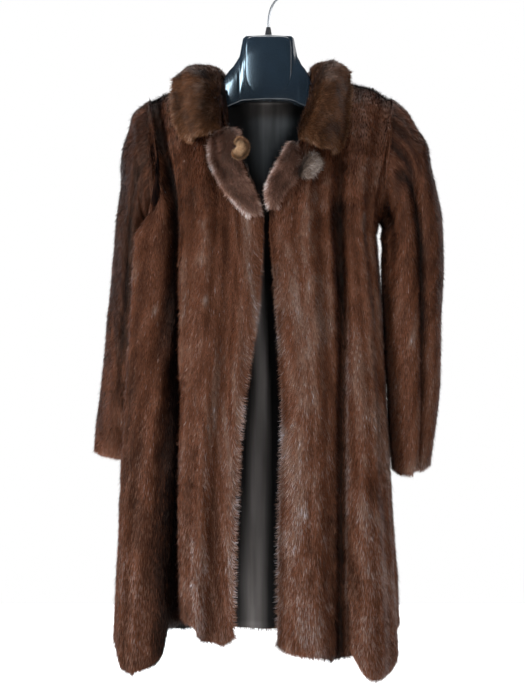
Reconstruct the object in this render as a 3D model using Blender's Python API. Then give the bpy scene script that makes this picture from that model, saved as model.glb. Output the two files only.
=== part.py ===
"""A let-out fur coat that hangs open on a furrier's broad hanger.

The origin is the inner top of the hook, where a rail carries it, +Z is up and the coat's front faces -Y.
Sizes are written in millimetres and become metres when a mesh is made. Left is -X and right is +X.
The body of the coat is one surface that runs from the left front edge round the back to the right
front edge. A place round it is a number: 0 is the centre front, -1 and 1 are the side seams, and -2
and 2 are the centre back.
"""

import math
from typing import NamedTuple

import bpy
import numpy as np
from mathutils import Vector
from mathutils.bvhtree import BVHTree

MM = 0.001

SEAM_GAP = 0.3  # between pieces that are sewn together
WAIST_GAP = 0.8  # between a body piece's top and its skirt
FUR_WALL = 10.0  # skin and the reach of its pile
SLEEVE_WALL = 9.0
LINING_WALL = 1.2
LINING_HEM = 12.0  # how far the lining ends above the back's hem
COLLAR_WALL = 14.0
COLLAR_LIFT = 3.0  # how far its fallen edge stays off the coat
COLLAR_SETTLES = 50.0  # it hangs against the fronts this far ahead of the shoulders
COLLAR_EDGE = 0.55  # its wall at the seam and at the fallen edge, over the wall between them
COLLAR_ROLL = 0.9  # how full it turns over its crest
FACING_WALL = 9.0

YOKE_LEVEL = -442.0  # the level where the armholes end and the body is a full ring
ROUNDING = 0.6  # 1 is an ellipse, and less is squarer
QUARTER_STEPS = 400
SLIMNESS = 0.62  # a ring's depth over its width, for spacing places evenly round it
YOKE_LEAVES = 0.62  # how far the cloth keeps its way at the top edge, over its drop to the yoke level
YOKE_ARRIVES = 0.8
YOKE_ROWS = 6
SKIRT_ROWS = 9
FRONT_COLUMNS = 23
BACK_COLUMNS = 28
SLEEVE_COLUMNS = 16


class Section(NamedTuple):
    """The body's ring at one level: how far it reaches each way, and where the front edges hang."""

    level: float
    left: float
    right: float
    front: float
    back: float
    left_edge: float
    right_edge: float


BODY = (
    Section(level=-442, left=184, right=190, front=102, back=74, left_edge=-8, right_edge=1),
    Section(level=-560, left=190, right=199, front=116, back=86, left_edge=-17, right_edge=11),
    Section(level=-720, left=197, right=205, front=127, back=97, left_edge=-41, right_edge=21),
    Section(level=-900, left=208, right=211, front=135, back=108, left_edge=-53, right_edge=16),
    Section(level=-1160, left=217, right=222, front=144, back=122, left_edge=-58, right_edge=14),
)


class HemPoint(NamedTuple):
    """The level of the hem at a place round the body."""

    place: float
    level: float


HEM = (
    HemPoint(place=-2.0, level=-1136),
    HemPoint(place=-1.5, level=-1126),
    HemPoint(place=-1.0, level=-1112.5),
    HemPoint(place=-0.825, level=-1111),
    HemPoint(place=-0.807, level=-1113),
    HemPoint(place=-0.79, level=-1120),
    HemPoint(place=-0.772, level=-1131),
    HemPoint(place=-0.755, level=-1145),
    HemPoint(place=-0.737, level=-1153),
    HemPoint(place=-0.72, level=-1153),
    HemPoint(place=-0.702, level=-1149),
    HemPoint(place=-0.684, level=-1144),
    HemPoint(place=-0.667, level=-1138),
    HemPoint(place=-0.658, level=-1134),
    HemPoint(place=-0.652, level=-1092),
    HemPoint(place=-0.645, level=-1085),
    HemPoint(place=-0.614, level=-1082),
    HemPoint(place=-0.579, level=-1076),
    HemPoint(place=-0.544, level=-1070),
    HemPoint(place=-0.492, level=-1064),
    HemPoint(place=-0.457, level=-1062.5),
    HemPoint(place=-0.421, level=-1065),
    HemPoint(place=-0.386, level=-1072),
    HemPoint(place=-0.351, level=-1080.5),
    HemPoint(place=-0.316, level=-1090),
    HemPoint(place=-0.281, level=-1094),
    HemPoint(place=-0.246, level=-1094),
    HemPoint(place=-0.211, level=-1088.5),
    HemPoint(place=-0.193, level=-1080),
    HemPoint(place=0.02, level=-1084),
    HemPoint(place=0.047, level=-1092),
    HemPoint(place=0.068, level=-1100.5),
    HemPoint(place=0.088, level=-1105.5),
    HemPoint(place=0.13, level=-1108),
    HemPoint(place=0.212, level=-1111),
    HemPoint(place=0.254, level=-1111.5),
    HemPoint(place=0.295, level=-1114),
    HemPoint(place=0.337, level=-1119),
    HemPoint(place=0.378, level=-1124),
    HemPoint(place=0.399, level=-1116),
    HemPoint(place=0.42, level=-1113),
    HemPoint(place=0.44, level=-1133),
    HemPoint(place=0.461, level=-1140.5),
    HemPoint(place=0.481, level=-1143.5),
    HemPoint(place=0.523, level=-1146),
    HemPoint(place=0.585, level=-1146),
    HemPoint(place=0.627, level=-1149),
    HemPoint(place=0.647, level=-1149),
    HemPoint(place=0.668, level=-1147),
    HemPoint(place=0.689, level=-1143),
    HemPoint(place=0.71, level=-1139),
    HemPoint(place=0.73, level=-1134.5),
    HemPoint(place=0.772, level=-1129),
    HemPoint(place=0.83, level=-1122),
    HemPoint(place=0.9, level=-1119),
    HemPoint(place=1.0, level=-1120),
    HemPoint(place=1.5, level=-1130),
    HemPoint(place=2.0, level=-1136),
)


class Fold(NamedTuple):
    """A ridge (depth above 0) or trough round the body. Places and widths are at the yoke and the hem."""

    place: float
    hem_place: float
    width: float
    hem_width: float
    depth: float
    hem_depth: float
    start: float  # share of its depth that it has at the shoulder


FOLDS = (
    # left front: the deep fold beside the sleeve, the lobe outside it and the soft flutes inside it
    Fold(place=-0.67, hem_place=-0.59, width=0.06, hem_width=0.088, depth=-36, hem_depth=-72, start=0.15),
    Fold(place=-0.81, hem_place=-0.79, width=0.11, hem_width=0.12, depth=46, hem_depth=46, start=0.0),
    Fold(place=-0.40, hem_place=-0.38, width=0.09, hem_width=0.06, depth=4, hem_depth=8, start=0.3),
    Fold(place=-0.27, hem_place=-0.30, width=0.04, hem_width=0.035, depth=-3, hem_depth=-9, start=0.2),
    # right front
    Fold(place=0.44, hem_place=0.385, width=0.045, hem_width=0.045, depth=-14, hem_depth=-24, start=0.3),
    Fold(place=0.57, hem_place=0.53, width=0.09, hem_width=0.11, depth=8, hem_depth=28, start=0.2),
    Fold(place=0.24, hem_place=0.22, width=0.10, hem_width=0.10, depth=3, hem_depth=8, start=0.3),
    # hollows that the sleeves hang in
    Fold(place=-1.00, hem_place=-1.02, width=0.14, hem_width=0.13, depth=-10, hem_depth=-22, start=0.0),
    Fold(place=-1.24, hem_place=-1.10, width=0.15, hem_width=0.12, depth=-24, hem_depth=-4, start=0.0),
    Fold(place=0.86, hem_place=0.88, width=0.16, hem_width=0.13, depth=-11, hem_depth=-20, start=0.0),
    Fold(place=1.10, hem_place=1.02, width=0.12, hem_width=0.10, depth=-6, hem_depth=-4, start=0.0),
    Fold(place=0.72, hem_place=0.72, width=0.08, hem_width=0.07, depth=0, hem_depth=8, start=0.2),
    # sides and back
    Fold(place=-1.30, hem_place=-1.26, width=0.11, hem_width=0.12, depth=-2, hem_depth=20, start=0.2),
    Fold(place=-1.47, hem_place=-1.45, width=0.08, hem_width=0.08, depth=-6, hem_depth=-22, start=0.2),
    Fold(place=-1.72, hem_place=-1.68, width=0.11, hem_width=0.11, depth=3, hem_depth=14, start=0.2),
    Fold(place=1.25, hem_place=1.22, width=0.12, hem_width=0.12, depth=8, hem_depth=20, start=0.2),
    Fold(place=1.50, hem_place=1.46, width=0.09, hem_width=0.09, depth=-6, hem_depth=-24, start=0.2),
    Fold(place=1.76, hem_place=1.74, width=0.09, hem_width=0.11, depth=3, hem_depth=12, start=0.2),
)


class Side(NamedTuple):
    """One side's neck, shoulder and armhole. The sign is -1 on the left and 1 on the right."""

    name: str
    sign: int
    neck: tuple
    shoulder_bow: float  # how far the shoulder line bows above a straight one
    tip: tuple
    underarm: tuple
    arm_depth: float  # half the armhole's width, front to back
    arm_centre: float  # the armhole's middle along Y
    break_level: float  # where the front edge starts to fold out
    neck_controls: tuple  # what pulls the neckline between the break and the neck


LEFT = Side(
    name="left",
    sign=-1,
    neck=(-82, 0, -176),
    shoulder_bow=8,
    tip=(-201, 0, -207),
    underarm=(-197, 0, -408),
    arm_depth=60,
    arm_centre=0,
    break_level=-404,
    neck_controls=((-30, -116, -350), (-88, -84, -215)),
)
RIGHT = Side(
    name="right",
    sign=1,
    neck=(76, 0, -173),
    shoulder_bow=11,
    tip=(210, 0, -205),
    underarm=(190, 0, -410),
    arm_depth=60,
    arm_centre=0,
    break_level=-400,
    neck_controls=((22, -116, -350), (82, -84, -215)),
)
BACK_NECK = (0, 56, -190)
FRONT_NECK_TURN = 90.0  # how steeply the cloth falls at the break and at the back neck, in degrees
BACK_NECK_TURN = 70.0
ARMHOLE_TURN = 80.0  # degrees round the armhole from its tip to where the cloth falls straight
NECKLINE_LIFT = 4.0  # the break stands this far ahead of the yoke's ring
NECK_PLACE = 0.29  # where the neck point and the shoulder tip meet the front's columns
TIP_PLACE = 0.67
BACK_NECK_PLACE = 0.30  # the same on the back, counted from its centre
BACK_TIP_PLACE = 0.70
ARMHOLE_ROWS = 3  # rows over which the wall turns from the armhole's own plane to the cloth's
ARMHOLE_FREE = 1.2  # how far the cloth may pass an armhole's plane, over its distance in front of it
ARMHOLE_LEAN = 0.30  # how far the cloth turns in below an armhole, over its drop


class SleeveRing(NamedTuple):
    """A sleeve's ring: its outer and inner points seen from the front, and its depth along Y."""

    outer_x: float
    outer_z: float
    inner_x: float
    inner_z: float
    depth: float
    middle: float


LEFT_SLEEVE = (
    SleeveRing(outer_x=-201, outer_z=-207, inner_x=-197, inner_z=-408, depth=60, middle=0),
    SleeveRing(outer_x=-229, outer_z=-233, inner_x=-201, inner_z=-418, depth=60, middle=8),
    SleeveRing(outer_x=-247, outer_z=-285, inner_x=-203, inner_z=-430, depth=59, middle=18),
    SleeveRing(outer_x=-257, outer_z=-360, inner_x=-203, inner_z=-448, depth=57, middle=27),
    SleeveRing(outer_x=-267, outer_z=-445, inner_x=-202, inner_z=-492, depth=55, middle=34),
    SleeveRing(outer_x=-278, outer_z=-570, inner_x=-202, inner_z=-585, depth=54, middle=39),
    SleeveRing(outer_x=-295, outer_z=-712, inner_x=-206, inner_z=-712, depth=53, middle=42),
    SleeveRing(outer_x=-304, outer_z=-810, inner_x=-211, inner_z=-818, depth=52, middle=42),
)
RIGHT_SLEEVE = (
    SleeveRing(outer_x=210, outer_z=-205, inner_x=190, inner_z=-410, depth=60, middle=0),
    SleeveRing(outer_x=241, outer_z=-238, inner_x=193, inner_z=-420, depth=61, middle=-8),
    SleeveRing(outer_x=265, outer_z=-290, inner_x=193, inner_z=-430, depth=62, middle=-18),
    SleeveRing(outer_x=280, outer_z=-365, inner_x=192, inner_z=-446, depth=61, middle=-28),
    SleeveRing(outer_x=290, outer_z=-450, inner_x=190, inner_z=-490, depth=59, middle=-36),
    SleeveRing(outer_x=287, outer_z=-575, inner_x=190, inner_z=-590, depth=57, middle=-42),
    SleeveRing(outer_x=280, outer_z=-712, inner_x=196, inner_z=-716, depth=55, middle=-46),
    SleeveRing(outer_x=267, outer_z=-826, inner_x=203, inner_z=-834, depth=53, middle=-48),
)
SLEEVE_ROWS_PER_RING = 2
SLEEVE_GIRTH = 330.0
SLEEVE_FOLDS_START = 0.3  # share of the sleeve's length over which its folds grow


class SleeveFold(NamedTuple):
    """A trough or ridge along a sleeve. The angle is 0 outside, 90 in front and 180 inside."""

    side: int
    angle: float
    cuff_angle: float
    width: float
    depth: float


SLEEVE_FOLDS = (
    SleeveFold(side=1, angle=112, cuff_angle=40, width=20, depth=-8),
    SleeveFold(side=1, angle=250, cuff_angle=280, width=24, depth=-6),
    SleeveFold(side=-1, angle=60, cuff_angle=45, width=24, depth=-5),
    SleeveFold(side=-1, angle=255, cuff_angle=290, width=24, depth=-6),
)


class CollarStation(NamedTuple):
    """A cut through the collar: neck seam, top of the roll and outer edge, each as X, Y and Z."""

    neck: tuple
    crest: tuple
    edge: tuple
    wall: float  # share of the full wall


COLLAR = (
    CollarStation(neck=(-84, -110, -288), crest=(-108, -124, -296), edge=(-134, -122, -292), wall=0.60),
    CollarStation(neck=(-76, -104, -272), crest=(-104, -122, -268), edge=(-150, -114, -276), wall=0.95),
    CollarStation(neck=(-82, -72, -214), crest=(-105, -90, -204), edge=(-161, -78, -234), wall=1.0),
    CollarStation(neck=(-80, -18, -170), crest=(-121, -26, -162), edge=(-162, -20, -180), wall=1.0),
    CollarStation(neck=(-66, 40, -172), crest=(-84, 54, -157), edge=(-132, 70, -206), wall=1.0),
    CollarStation(neck=(0, 66, -182), crest=(0, 82, -167), edge=(0, 98, -244), wall=1.0),
    CollarStation(neck=(62, 40, -170), crest=(78, 54, -153), edge=(120, 70, -202), wall=1.0),
    CollarStation(neck=(74, -18, -167), crest=(107, -26, -155), edge=(138, -20, -167), wall=1.0),
    CollarStation(neck=(70, -74, -220), crest=(90, -92, -202), edge=(139, -80, -228), wall=1.0),
    CollarStation(neck=(48, -108, -284), crest=(80, -126, -282), edge=(130, -114, -288), wall=0.95),
    CollarStation(neck=(54, -118, -308), crest=(86, -130, -316), edge=(112, -124, -310), wall=0.60),
)
COLLAR_ROWS_PER_STATION = 2
COLLAR_COLUMNS = 8


class FacingRow(NamedTuple):
    """A turned-out corner at one level: its middle and half its width, seen from the front."""

    level: float
    middle: float
    half_width: float


LEFT_FACING = (
    FacingRow(level=-276, middle=-66, half_width=12),
    FacingRow(level=-286, middle=-69, half_width=22),
    FacingRow(level=-305, middle=-72, half_width=26),
    FacingRow(level=-332, middle=-70, half_width=25),
    FacingRow(level=-360, middle=-56, half_width=23),
    FacingRow(level=-388, middle=-40, half_width=20),
    FacingRow(level=-414, middle=-24, half_width=11),
)
RIGHT_FACING = (
    FacingRow(level=-300, middle=38, half_width=7),
    FacingRow(level=-318, middle=35, half_width=12),
    FacingRow(level=-340, middle=29, half_width=18),
    FacingRow(level=-360, middle=20, half_width=21),
    FacingRow(level=-380, middle=10, half_width=14),
    FacingRow(level=-402, middle=7, half_width=7),
)
FACING_COLUMNS = 6
FACING_LIFT = 1.5  # how far a corner lies off the front
FACING_ROUND = 0.82  # 1 rounds its sides off to nothing
FACING_END = 0.55  # its wall at its first and last row, over the wall between them
FACING_PROBE = 6.0  # how far round a point the front is felt for
FAR = 500.0  # farther forward than anything on the coat

BUTTON_CENTRE = (-46, -140, -317)
BUTTON_SIZE = (16, 14, 17)
TAB_CENTRE = (62, -118, -342)
TAB_SIZE = (14, 9, 25)
TAB_TILT = 24  # degrees about Y


class HangerSection(NamedTuple):
    """A cut through the hanger at one X: its top, bottom and half its thickness."""

    x: float
    top: float
    bottom: float
    half_depth: float


HANGER = (
    HangerSection(x=-182, top=-232, bottom=-244, half_depth=9),
    HangerSection(x=-176, top=-224, bottom=-248, half_depth=13),
    HangerSection(x=-145, top=-207, bottom=-242, half_depth=14),
    HangerSection(x=-112, top=-199, bottom=-233, half_depth=13),
    HangerSection(x=-88, top=-199, bottom=-228, half_depth=11),
    HangerSection(x=-80, top=-189, bottom=-227, half_depth=9),
    HangerSection(x=-75, top=-174, bottom=-224, half_depth=9),
    HangerSection(x=-70, top=-162, bottom=-222, half_depth=9),
    HangerSection(x=-58, top=-150, bottom=-217, half_depth=8),
    HangerSection(x=-49, top=-134, bottom=-214, half_depth=8),
    HangerSection(x=-43, top=-104, bottom=-212, half_depth=8),
    HangerSection(x=-38, top=-99, bottom=-211, half_depth=8),
    HangerSection(x=0, top=-98, bottom=-209, half_depth=9),
    HangerSection(x=38, top=-99, bottom=-211, half_depth=8),
    HangerSection(x=43, top=-104, bottom=-213, half_depth=8),
    HangerSection(x=49, top=-134, bottom=-215, half_depth=8),
    HangerSection(x=57, top=-150, bottom=-219, half_depth=8),
    HangerSection(x=66, top=-160, bottom=-223, half_depth=9),
    HangerSection(x=71, top=-174, bottom=-225, half_depth=9),
    HangerSection(x=76, top=-189, bottom=-227, half_depth=9),
    HangerSection(x=84, top=-199, bottom=-229, half_depth=11),
    HangerSection(x=112, top=-196, bottom=-232, half_depth=13),
    HangerSection(x=150, top=-205, bottom=-242, half_depth=14),
    HangerSection(x=184, top=-222, bottom=-247, half_depth=13),
    HangerSection(x=190, top=-230, bottom=-242, half_depth=9),
)
HANGER_CORNERS = 12
HANGER_DEPTH_ROUND = 0.5  # 1 is an ellipse, and less is squarer
HANGER_HEIGHT_ROUND = 0.35
SHIELD_TOP = -104.0
SHIELD_SIDE = 38.0
SHIELD_FLARE = 44.0  # half its width at the waist
SHIELD_WAIST = -156.0  # below this level the shield's outline turns in
SHIELD_BOTTOM = -202.0
SHIELD_DEPTH = 2.4
SHIELD_STEPS = 12
PLUG_TOP = -84.0
PLUG_RADIUS = 3.8
PLUG_FOOT_RADIUS = 6.4
WIRE_RADIUS = 2.0
BOW_RADIUS = 22.0  # to the middle of the wire
BOW_START = -50.0  # degrees below the bow's right side, where the wire turns into its stem
BOW_END = 205.0
BOW_STEPS = 26
STEM_STEPS = 10


def table_curve(rows, key, column, at):
    """A column of a table read on a smooth curve through its rows."""
    keys = np.array([getattr(row, key) for row in rows], float)
    values = np.array([getattr(row, column) for row in rows], float)
    if keys[0] > keys[-1]:
        keys, values = keys[::-1], values[::-1]
    slopes = np.gradient(values, keys)
    at = np.asarray(at, float)
    index = np.clip(np.searchsorted(keys, at) - 1, 0, len(keys) - 2)
    step = keys[index + 1] - keys[index]
    share = (at - keys[index]) / step
    return (
        (2 * share**3 - 3 * share**2 + 1) * values[index]
        + (share**3 - 2 * share**2 + share) * step * slopes[index]
        + (3 * share**2 - 2 * share**3) * values[index + 1]
        + (share**3 - share**2) * step * slopes[index + 1]
    )


def ease(share):
    """0 to 1 with a soft start and end."""
    share = np.clip(share, 0.0, 1.0)
    return share * share * (3 - 2 * share)


def unit(vectors):
    """Vectors made one long."""
    return vectors / np.maximum(np.linalg.norm(vectors, axis=-1, keepdims=True), 1e-9)


def hermite(start, start_pull, end, end_pull, share):
    """Points on the cubic from start to end that leaves and arrives along the pulls."""
    share = np.asarray(share, float).reshape(-1, *([1] * np.ndim(start)))
    return (
        (2 * share**3 - 3 * share**2 + 1) * start
        + (share**3 - 2 * share**2 + share) * start_pull
        + (3 * share**2 - 2 * share**3) * end
        + (share**3 - share**2) * end_pull
    )


def quarter_arc():
    """Angles of a quarter ring, and the share of its length that each has reached from the centre."""
    angles = (1 - np.cos(np.linspace(0, math.pi, QUARTER_STEPS))) * math.pi / 4
    across = np.clip(np.sin(angles), 0, 1) ** ROUNDING
    along = SLIMNESS * np.clip(np.cos(angles), 0, 1) ** ROUNDING
    reached = np.concatenate([[0], np.cumsum(np.hypot(np.diff(across), np.diff(along)))])
    return angles, reached / reached[-1]


QUARTER_ANGLES, QUARTER_SHARES = quarter_arc()


def ring_points(place, level):
    """Points of the body's plain ring, without its folds."""
    place, level = np.broadcast_arrays(np.asarray(place, float), np.asarray(level, float))
    reach = {side: table_curve(BODY, "level", side, level) for side in ("left", "right", "front", "back")}
    width = np.where(place < 0, reach["left"], reach["right"])
    share = np.abs(place)
    angle = np.interp(np.where(share <= 1, share, 2 - share), QUARTER_SHARES, QUARTER_ANGLES)
    across = width * np.sign(place) * np.clip(np.sin(angle), 0, 1) ** ROUNDING
    along = np.clip(np.cos(angle), 0, 1) ** ROUNDING
    depth = np.where(share <= 1, -reach["front"], reach["back"]) * along
    return np.stack([across, depth, level], axis=-1)


def edge_place(side, level):
    """The place round the body where a front edge hangs at a level."""
    column = "left_edge" if side.sign < 0 else "right_edge"
    edge = table_curve(BODY, "level", column, level)
    width = table_curve(BODY, "level", side.name, level)
    angle = np.arcsin(np.clip(np.abs(edge) / width, 0, 1) ** (1 / ROUNDING))
    return side.sign * np.interp(angle, QUARTER_ANGLES, QUARTER_SHARES)


def fold_depth(place, level, yoke_share):
    """How far the folds push the body's surface out at its places."""
    drop = np.clip((YOKE_LEVEL - level) / (YOKE_LEVEL - BODY[-1].level), 0, 1)
    total = np.zeros(np.broadcast(place, level).shape)
    for fold in FOLDS:
        middle = fold.place + (fold.hem_place - fold.place) * drop
        width = fold.width + (fold.hem_width - fold.width) * drop
        depth = fold.depth + (fold.hem_depth - fold.depth) * drop
        depth = depth * (fold.start + (1 - fold.start) * ease(yoke_share))
        total = total + depth * np.exp(-(((place - middle) / width) ** 2))
    return total


def armhole_point(side, angle):
    """A point of the armhole's oval: 0 degrees at the shoulder tip, 180 at the underarm."""
    tip, low = np.array(side.tip, float), np.array(side.underarm, float)
    turn = math.radians(angle)
    point = (tip + low) / 2 + math.cos(turn) * (tip - low) / 2
    return point + np.array([0, math.sin(turn) * side.arm_depth + side.arm_centre, 0])


def armhole_normal(side, angle):
    """The direction away from the armhole's middle, in its own plane."""
    step = armhole_point(side, angle + 1) - armhole_point(side, angle - 1)
    tip, low = np.array(side.tip, float), np.array(side.underarm, float)
    plane = unit(np.cross(tip - low, [0, 1, 0]))
    normal = unit(np.cross(step, plane))
    outward = armhole_point(side, angle) - (tip + low) / 2
    return normal if np.dot(normal, outward) > 0 else -normal


def neckline_point(side, share):
    """A point of the front neckline, from the break (0) to the neck point (1)."""
    edge = table_curve(BODY, "level", "left_edge" if side.sign < 0 else "right_edge", YOKE_LEVEL)
    front = table_curve(BODY, "level", "front", YOKE_LEVEL)
    points = [np.array((edge, -front - NECKLINE_LIFT, side.break_level)), *map(np.array, side.neck_controls)]
    points.append(np.array(side.neck, float))
    weights = ((1 - share) ** 3, 3 * share * (1 - share) ** 2, 3 * share**2 * (1 - share), share**3)
    return sum(weight * point for weight, point in zip(weights, points))


def shoulder_point(side, share):
    """A point of the shoulder line, from the neck point (0) to the tip (1)."""
    neck, tip = np.array(side.neck, float), np.array(side.tip, float)
    return neck + (tip - neck) * share + np.array([0, 0, side.shoulder_bow * math.sin(math.pi * share)])


def top_edge(place):
    """The yoke's top edge at a place: its point, the way the cloth leaves it, and its wall's normal."""
    side = LEFT if place < 0 else RIGHT
    share = abs(place)
    front = share <= 1
    forward = -1 if front else 1
    if front:
        start = abs(float(edge_place(side, YOKE_LEVEL)))
        neck, tip, at, end = NECK_PLACE, TIP_PLACE, share, 1.0
    else:
        start, neck, tip, at, end = 0.0, BACK_NECK_PLACE, BACK_TIP_PLACE, 2 - share, 1.0
    if at <= neck:
        along = (at - start) / (neck - start)
        if front:
            point, turn = neckline_point(side, along), FRONT_NECK_TURN * (1 - ease(along))
        else:
            swing = along * math.pi / 2
            middle, corner = np.array(BACK_NECK, float), np.array(side.neck, float)
            point = middle + (corner - middle) * [math.sin(swing), 1 - math.cos(swing), 1 - math.cos(swing)]
            turn = BACK_NECK_TURN * (1 - ease(along))
        normal = None
    elif at < tip:
        point, turn, normal = shoulder_point(side, (at - neck) / (tip - neck)), 0.0, None
    else:
        angle = 180 * (at - tip) / (end - tip)
        point, turn = armhole_point(side, angle * forward), 90 * ease(angle / ARMHOLE_TURN)
        normal = armhole_normal(side, angle * forward)
    turn = math.radians(float(turn))
    lean = -side.sign * ARMHOLE_LEAN * math.sin(turn) if normal is not None else 0.0
    leave = unit(np.array([lean, forward * math.cos(turn), -math.sin(turn)]))
    return point, leave, normal


def body_grid():
    """The whole body's outer surface, its normals, and the columns where its panels start."""
    shares = np.linspace(0, 1, FRONT_COLUMNS + 1)
    left_start = abs(float(edge_place(LEFT, YOKE_LEVEL)))
    right_start = abs(float(edge_place(RIGHT, YOKE_LEVEL)))
    back = np.linspace(-1, -3, BACK_COLUMNS + 1)[1:-1]
    back = np.where(back < -2, back + 4, back)
    places = np.concatenate(
        [-(left_start + (1 - left_start) * shares), back, (right_start + (1 - right_start) * shares)[::-1]]
    )
    tops = [top_edge(place) for place in places]
    start = np.array([top[0] for top in tops])
    leave = np.array([top[1] for top in tops])
    end = ring_points(places, YOKE_LEVEL)
    arrive = unit(ring_points(places, YOKE_LEVEL - 10) - end)
    reach = np.linalg.norm(end - start, axis=1, keepdims=True)
    yoke_shares = np.linspace(0, 1, YOKE_ROWS + 1)
    yoke = hermite(start, leave * reach * YOKE_LEAVES, end, arrive * reach * YOKE_ARRIVES, yoke_shares)

    starts = ((LEFT, left_start), (RIGHT, right_start))
    hem = table_curve(HEM, "place", "level", hung_places(places, starts, BODY[-1].level))
    skirt = []
    for share in np.linspace(0, 1, SKIRT_ROWS + 1)[1:]:
        level = YOKE_LEVEL + (hem - YOKE_LEVEL) * share
        moved = hung_places(places, starts, level)
        skirt.append((moved, level, ring_points(moved, level)))
    base = np.concatenate([yoke, [row[2] for row in skirt]])
    place_grid = np.concatenate([np.tile(places, (YOKE_ROWS + 1, 1)), [row[0] for row in skirt]])
    yoke_level = np.full((YOKE_ROWS + 1, len(places)), YOKE_LEVEL)
    level_grid = np.concatenate([yoke_level, [row[1] for row in skirt]])
    share_grid = np.concatenate(
        [np.tile(yoke_shares[:, None], (1, len(places))), np.ones((SKIRT_ROWS, len(places)))]
    )
    push = fold_depth(place_grid, level_grid, share_grid)
    push[0] = 0
    at_armhole = np.array([top[2] is not None for top in tops])
    push[: YOKE_ROWS + 1, at_armhole] *= yoke_shares[:, None] ** 2
    outer = inside_armholes(base + surface_normals(base) * push[..., None], 0)
    normals = surface_normals(outer)
    across = np.gradient(outer[0], axis=0)
    normals[0] = unit(np.cross(across, leave))
    for column in np.nonzero(at_armhole)[0]:
        normals[0, column] = tops[column][2]
        for row in range(1, ARMHOLE_ROWS):
            share = row / ARMHOLE_ROWS
            normals[row, column] = unit(tops[column][2] * (1 - share) + normals[ARMHOLE_ROWS, column] * share)
    return outer, normals


def inside_armholes(grid, depth):
    """A layer of the body, this deep in it, kept inside the armholes' planes.

    It may pass a plane only in front of and below the sleeve.
    """
    kept = grid.copy()
    for side in (LEFT, RIGHT):
        (tip_x, _, tip_z), (low_x, _, low_z) = side.tip, side.underarm
        x, y, z = grid[1:, :, 0], grid[1:, :, 1], grid[1:, :, 2]
        plane = tip_x + (low_x - tip_x) * (tip_z - z) / (tip_z - low_z)
        free = ARMHOLE_FREE * np.maximum(0, -y - side.arm_depth) + np.maximum(0, low_z - z)
        free = free - SEAM_GAP - depth
        beyond = side.sign * (x - plane)
        kept[1:, :, 0] = np.where(beyond > free, plane + side.sign * free, kept[1:, :, 0])
    return kept


def hung_places(places, starts, level):
    """The columns' places at a level, drawn together as the front edges hang apart."""
    moved = places.copy()
    for side, start in starts:
        front = (np.abs(places) <= 1) & (np.sign(places) == side.sign)
        along = (np.abs(places) - start) / (1 - start)
        edge = np.abs(edge_place(side, level))
        moved = np.where(front, side.sign * (edge + (1 - edge) * along), moved)
    return moved


def surface_normals(grid):
    """Outward normals of a grid whose rows run down and whose columns run clockwise seen from above."""
    down = np.gradient(grid, axis=0)
    across = np.gradient(grid, axis=1)
    return unit(np.cross(across, down))


def add_mesh(name, points, faces, colour, roughness, metallic=0.0, smooth=True):
    """A mesh object in metres from points in millimetres, with its own material."""
    mesh = bpy.data.meshes.new(name)
    mesh.from_pydata([tuple(float(value) * MM for value in point) for point in points], [], faces)
    mesh.validate()
    if smooth:
        mesh.shade_smooth()
    thing = bpy.data.objects.new(name, mesh)
    bpy.context.collection.objects.link(thing)
    thing.data.materials.append(make_material(name, colour, roughness, metallic))
    return thing


def make_material(name, colour, roughness, metallic):
    """A plain Principled material."""
    material = bpy.data.materials.new(name)
    material.use_nodes = True
    shader = material.node_tree.nodes["Principled BSDF"]
    shader.inputs["Base Color"].default_value = (*colour, 1.0)
    shader.inputs["Roughness"].default_value = roughness
    shader.inputs["Metallic"].default_value = metallic
    return material


def halves(a, b, c, d):
    """A four-sided face as two triangles that share its first corner's diagonal."""
    return [(a, b, c), (a, c, d)]


def wall_faces(rows, columns, closed):
    """Triangles of a wall between an outer and an inner grid; closed joins its last column to its first.

    Both sides and both ends are cut along the same diagonals, so walls that lie or end on each other
    keep an even gap.
    """
    count = rows * columns

    def outer(row, column):
        return row * columns + column % columns

    def inner(row, column):
        return count + row * columns + column % columns

    faces = []
    spans = columns if closed else columns - 1
    for row in range(rows - 1):
        for column in range(spans):
            corners = ((row, column), (row, column + 1), (row + 1, column + 1), (row + 1, column))
            a, b, c, d = (outer(*corner) for corner in corners)
            faces += halves(a, b, c, d)
            a, b, c, d = (inner(*corner) for corner in corners)
            faces += halves(a, d, c, b)
    last = rows - 1
    for column in range(spans):
        after = column + 1
        faces += halves(outer(0, after), outer(0, column), inner(0, column), inner(0, after))
        faces += halves(outer(last, column), outer(last, after), inner(last, after), inner(last, column))
    if not closed:
        last = columns - 1
        for row in range(rows - 1):
            after = row + 1
            faces += halves(outer(row, 0), outer(after, 0), inner(after, 0), inner(row, 0))
            faces += halves(outer(row, last), inner(row, last), inner(after, last), outer(after, last))
    return faces


def add_wall(name, outer, inner, closed, colour, roughness):
    """A closed wall between two grids, with its faces pointing out."""
    rows, columns = outer.shape[:2]
    points = np.concatenate([outer.reshape(-1, 3), inner.reshape(-1, 3)])
    faces = wall_faces(rows, columns, closed)
    return add_mesh(name, points, faces, colour, roughness)


def inset_borders(grid, normals, first, last):
    """A panel's columns, its side and top borders drawn in by half a seam gap."""
    panel = grid[:, first : last + 1].copy()
    half = SEAM_GAP / 2
    across = unit(np.gradient(grid, axis=1)[:, first : last + 1])
    panel[:, 0] += across[:, 0] * half
    panel[:, -1] -= across[:, -1] * half
    down = unit(panel[1] - panel[0])
    panel[0] += down * half
    return panel, normals[:, first : last + 1]


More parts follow.
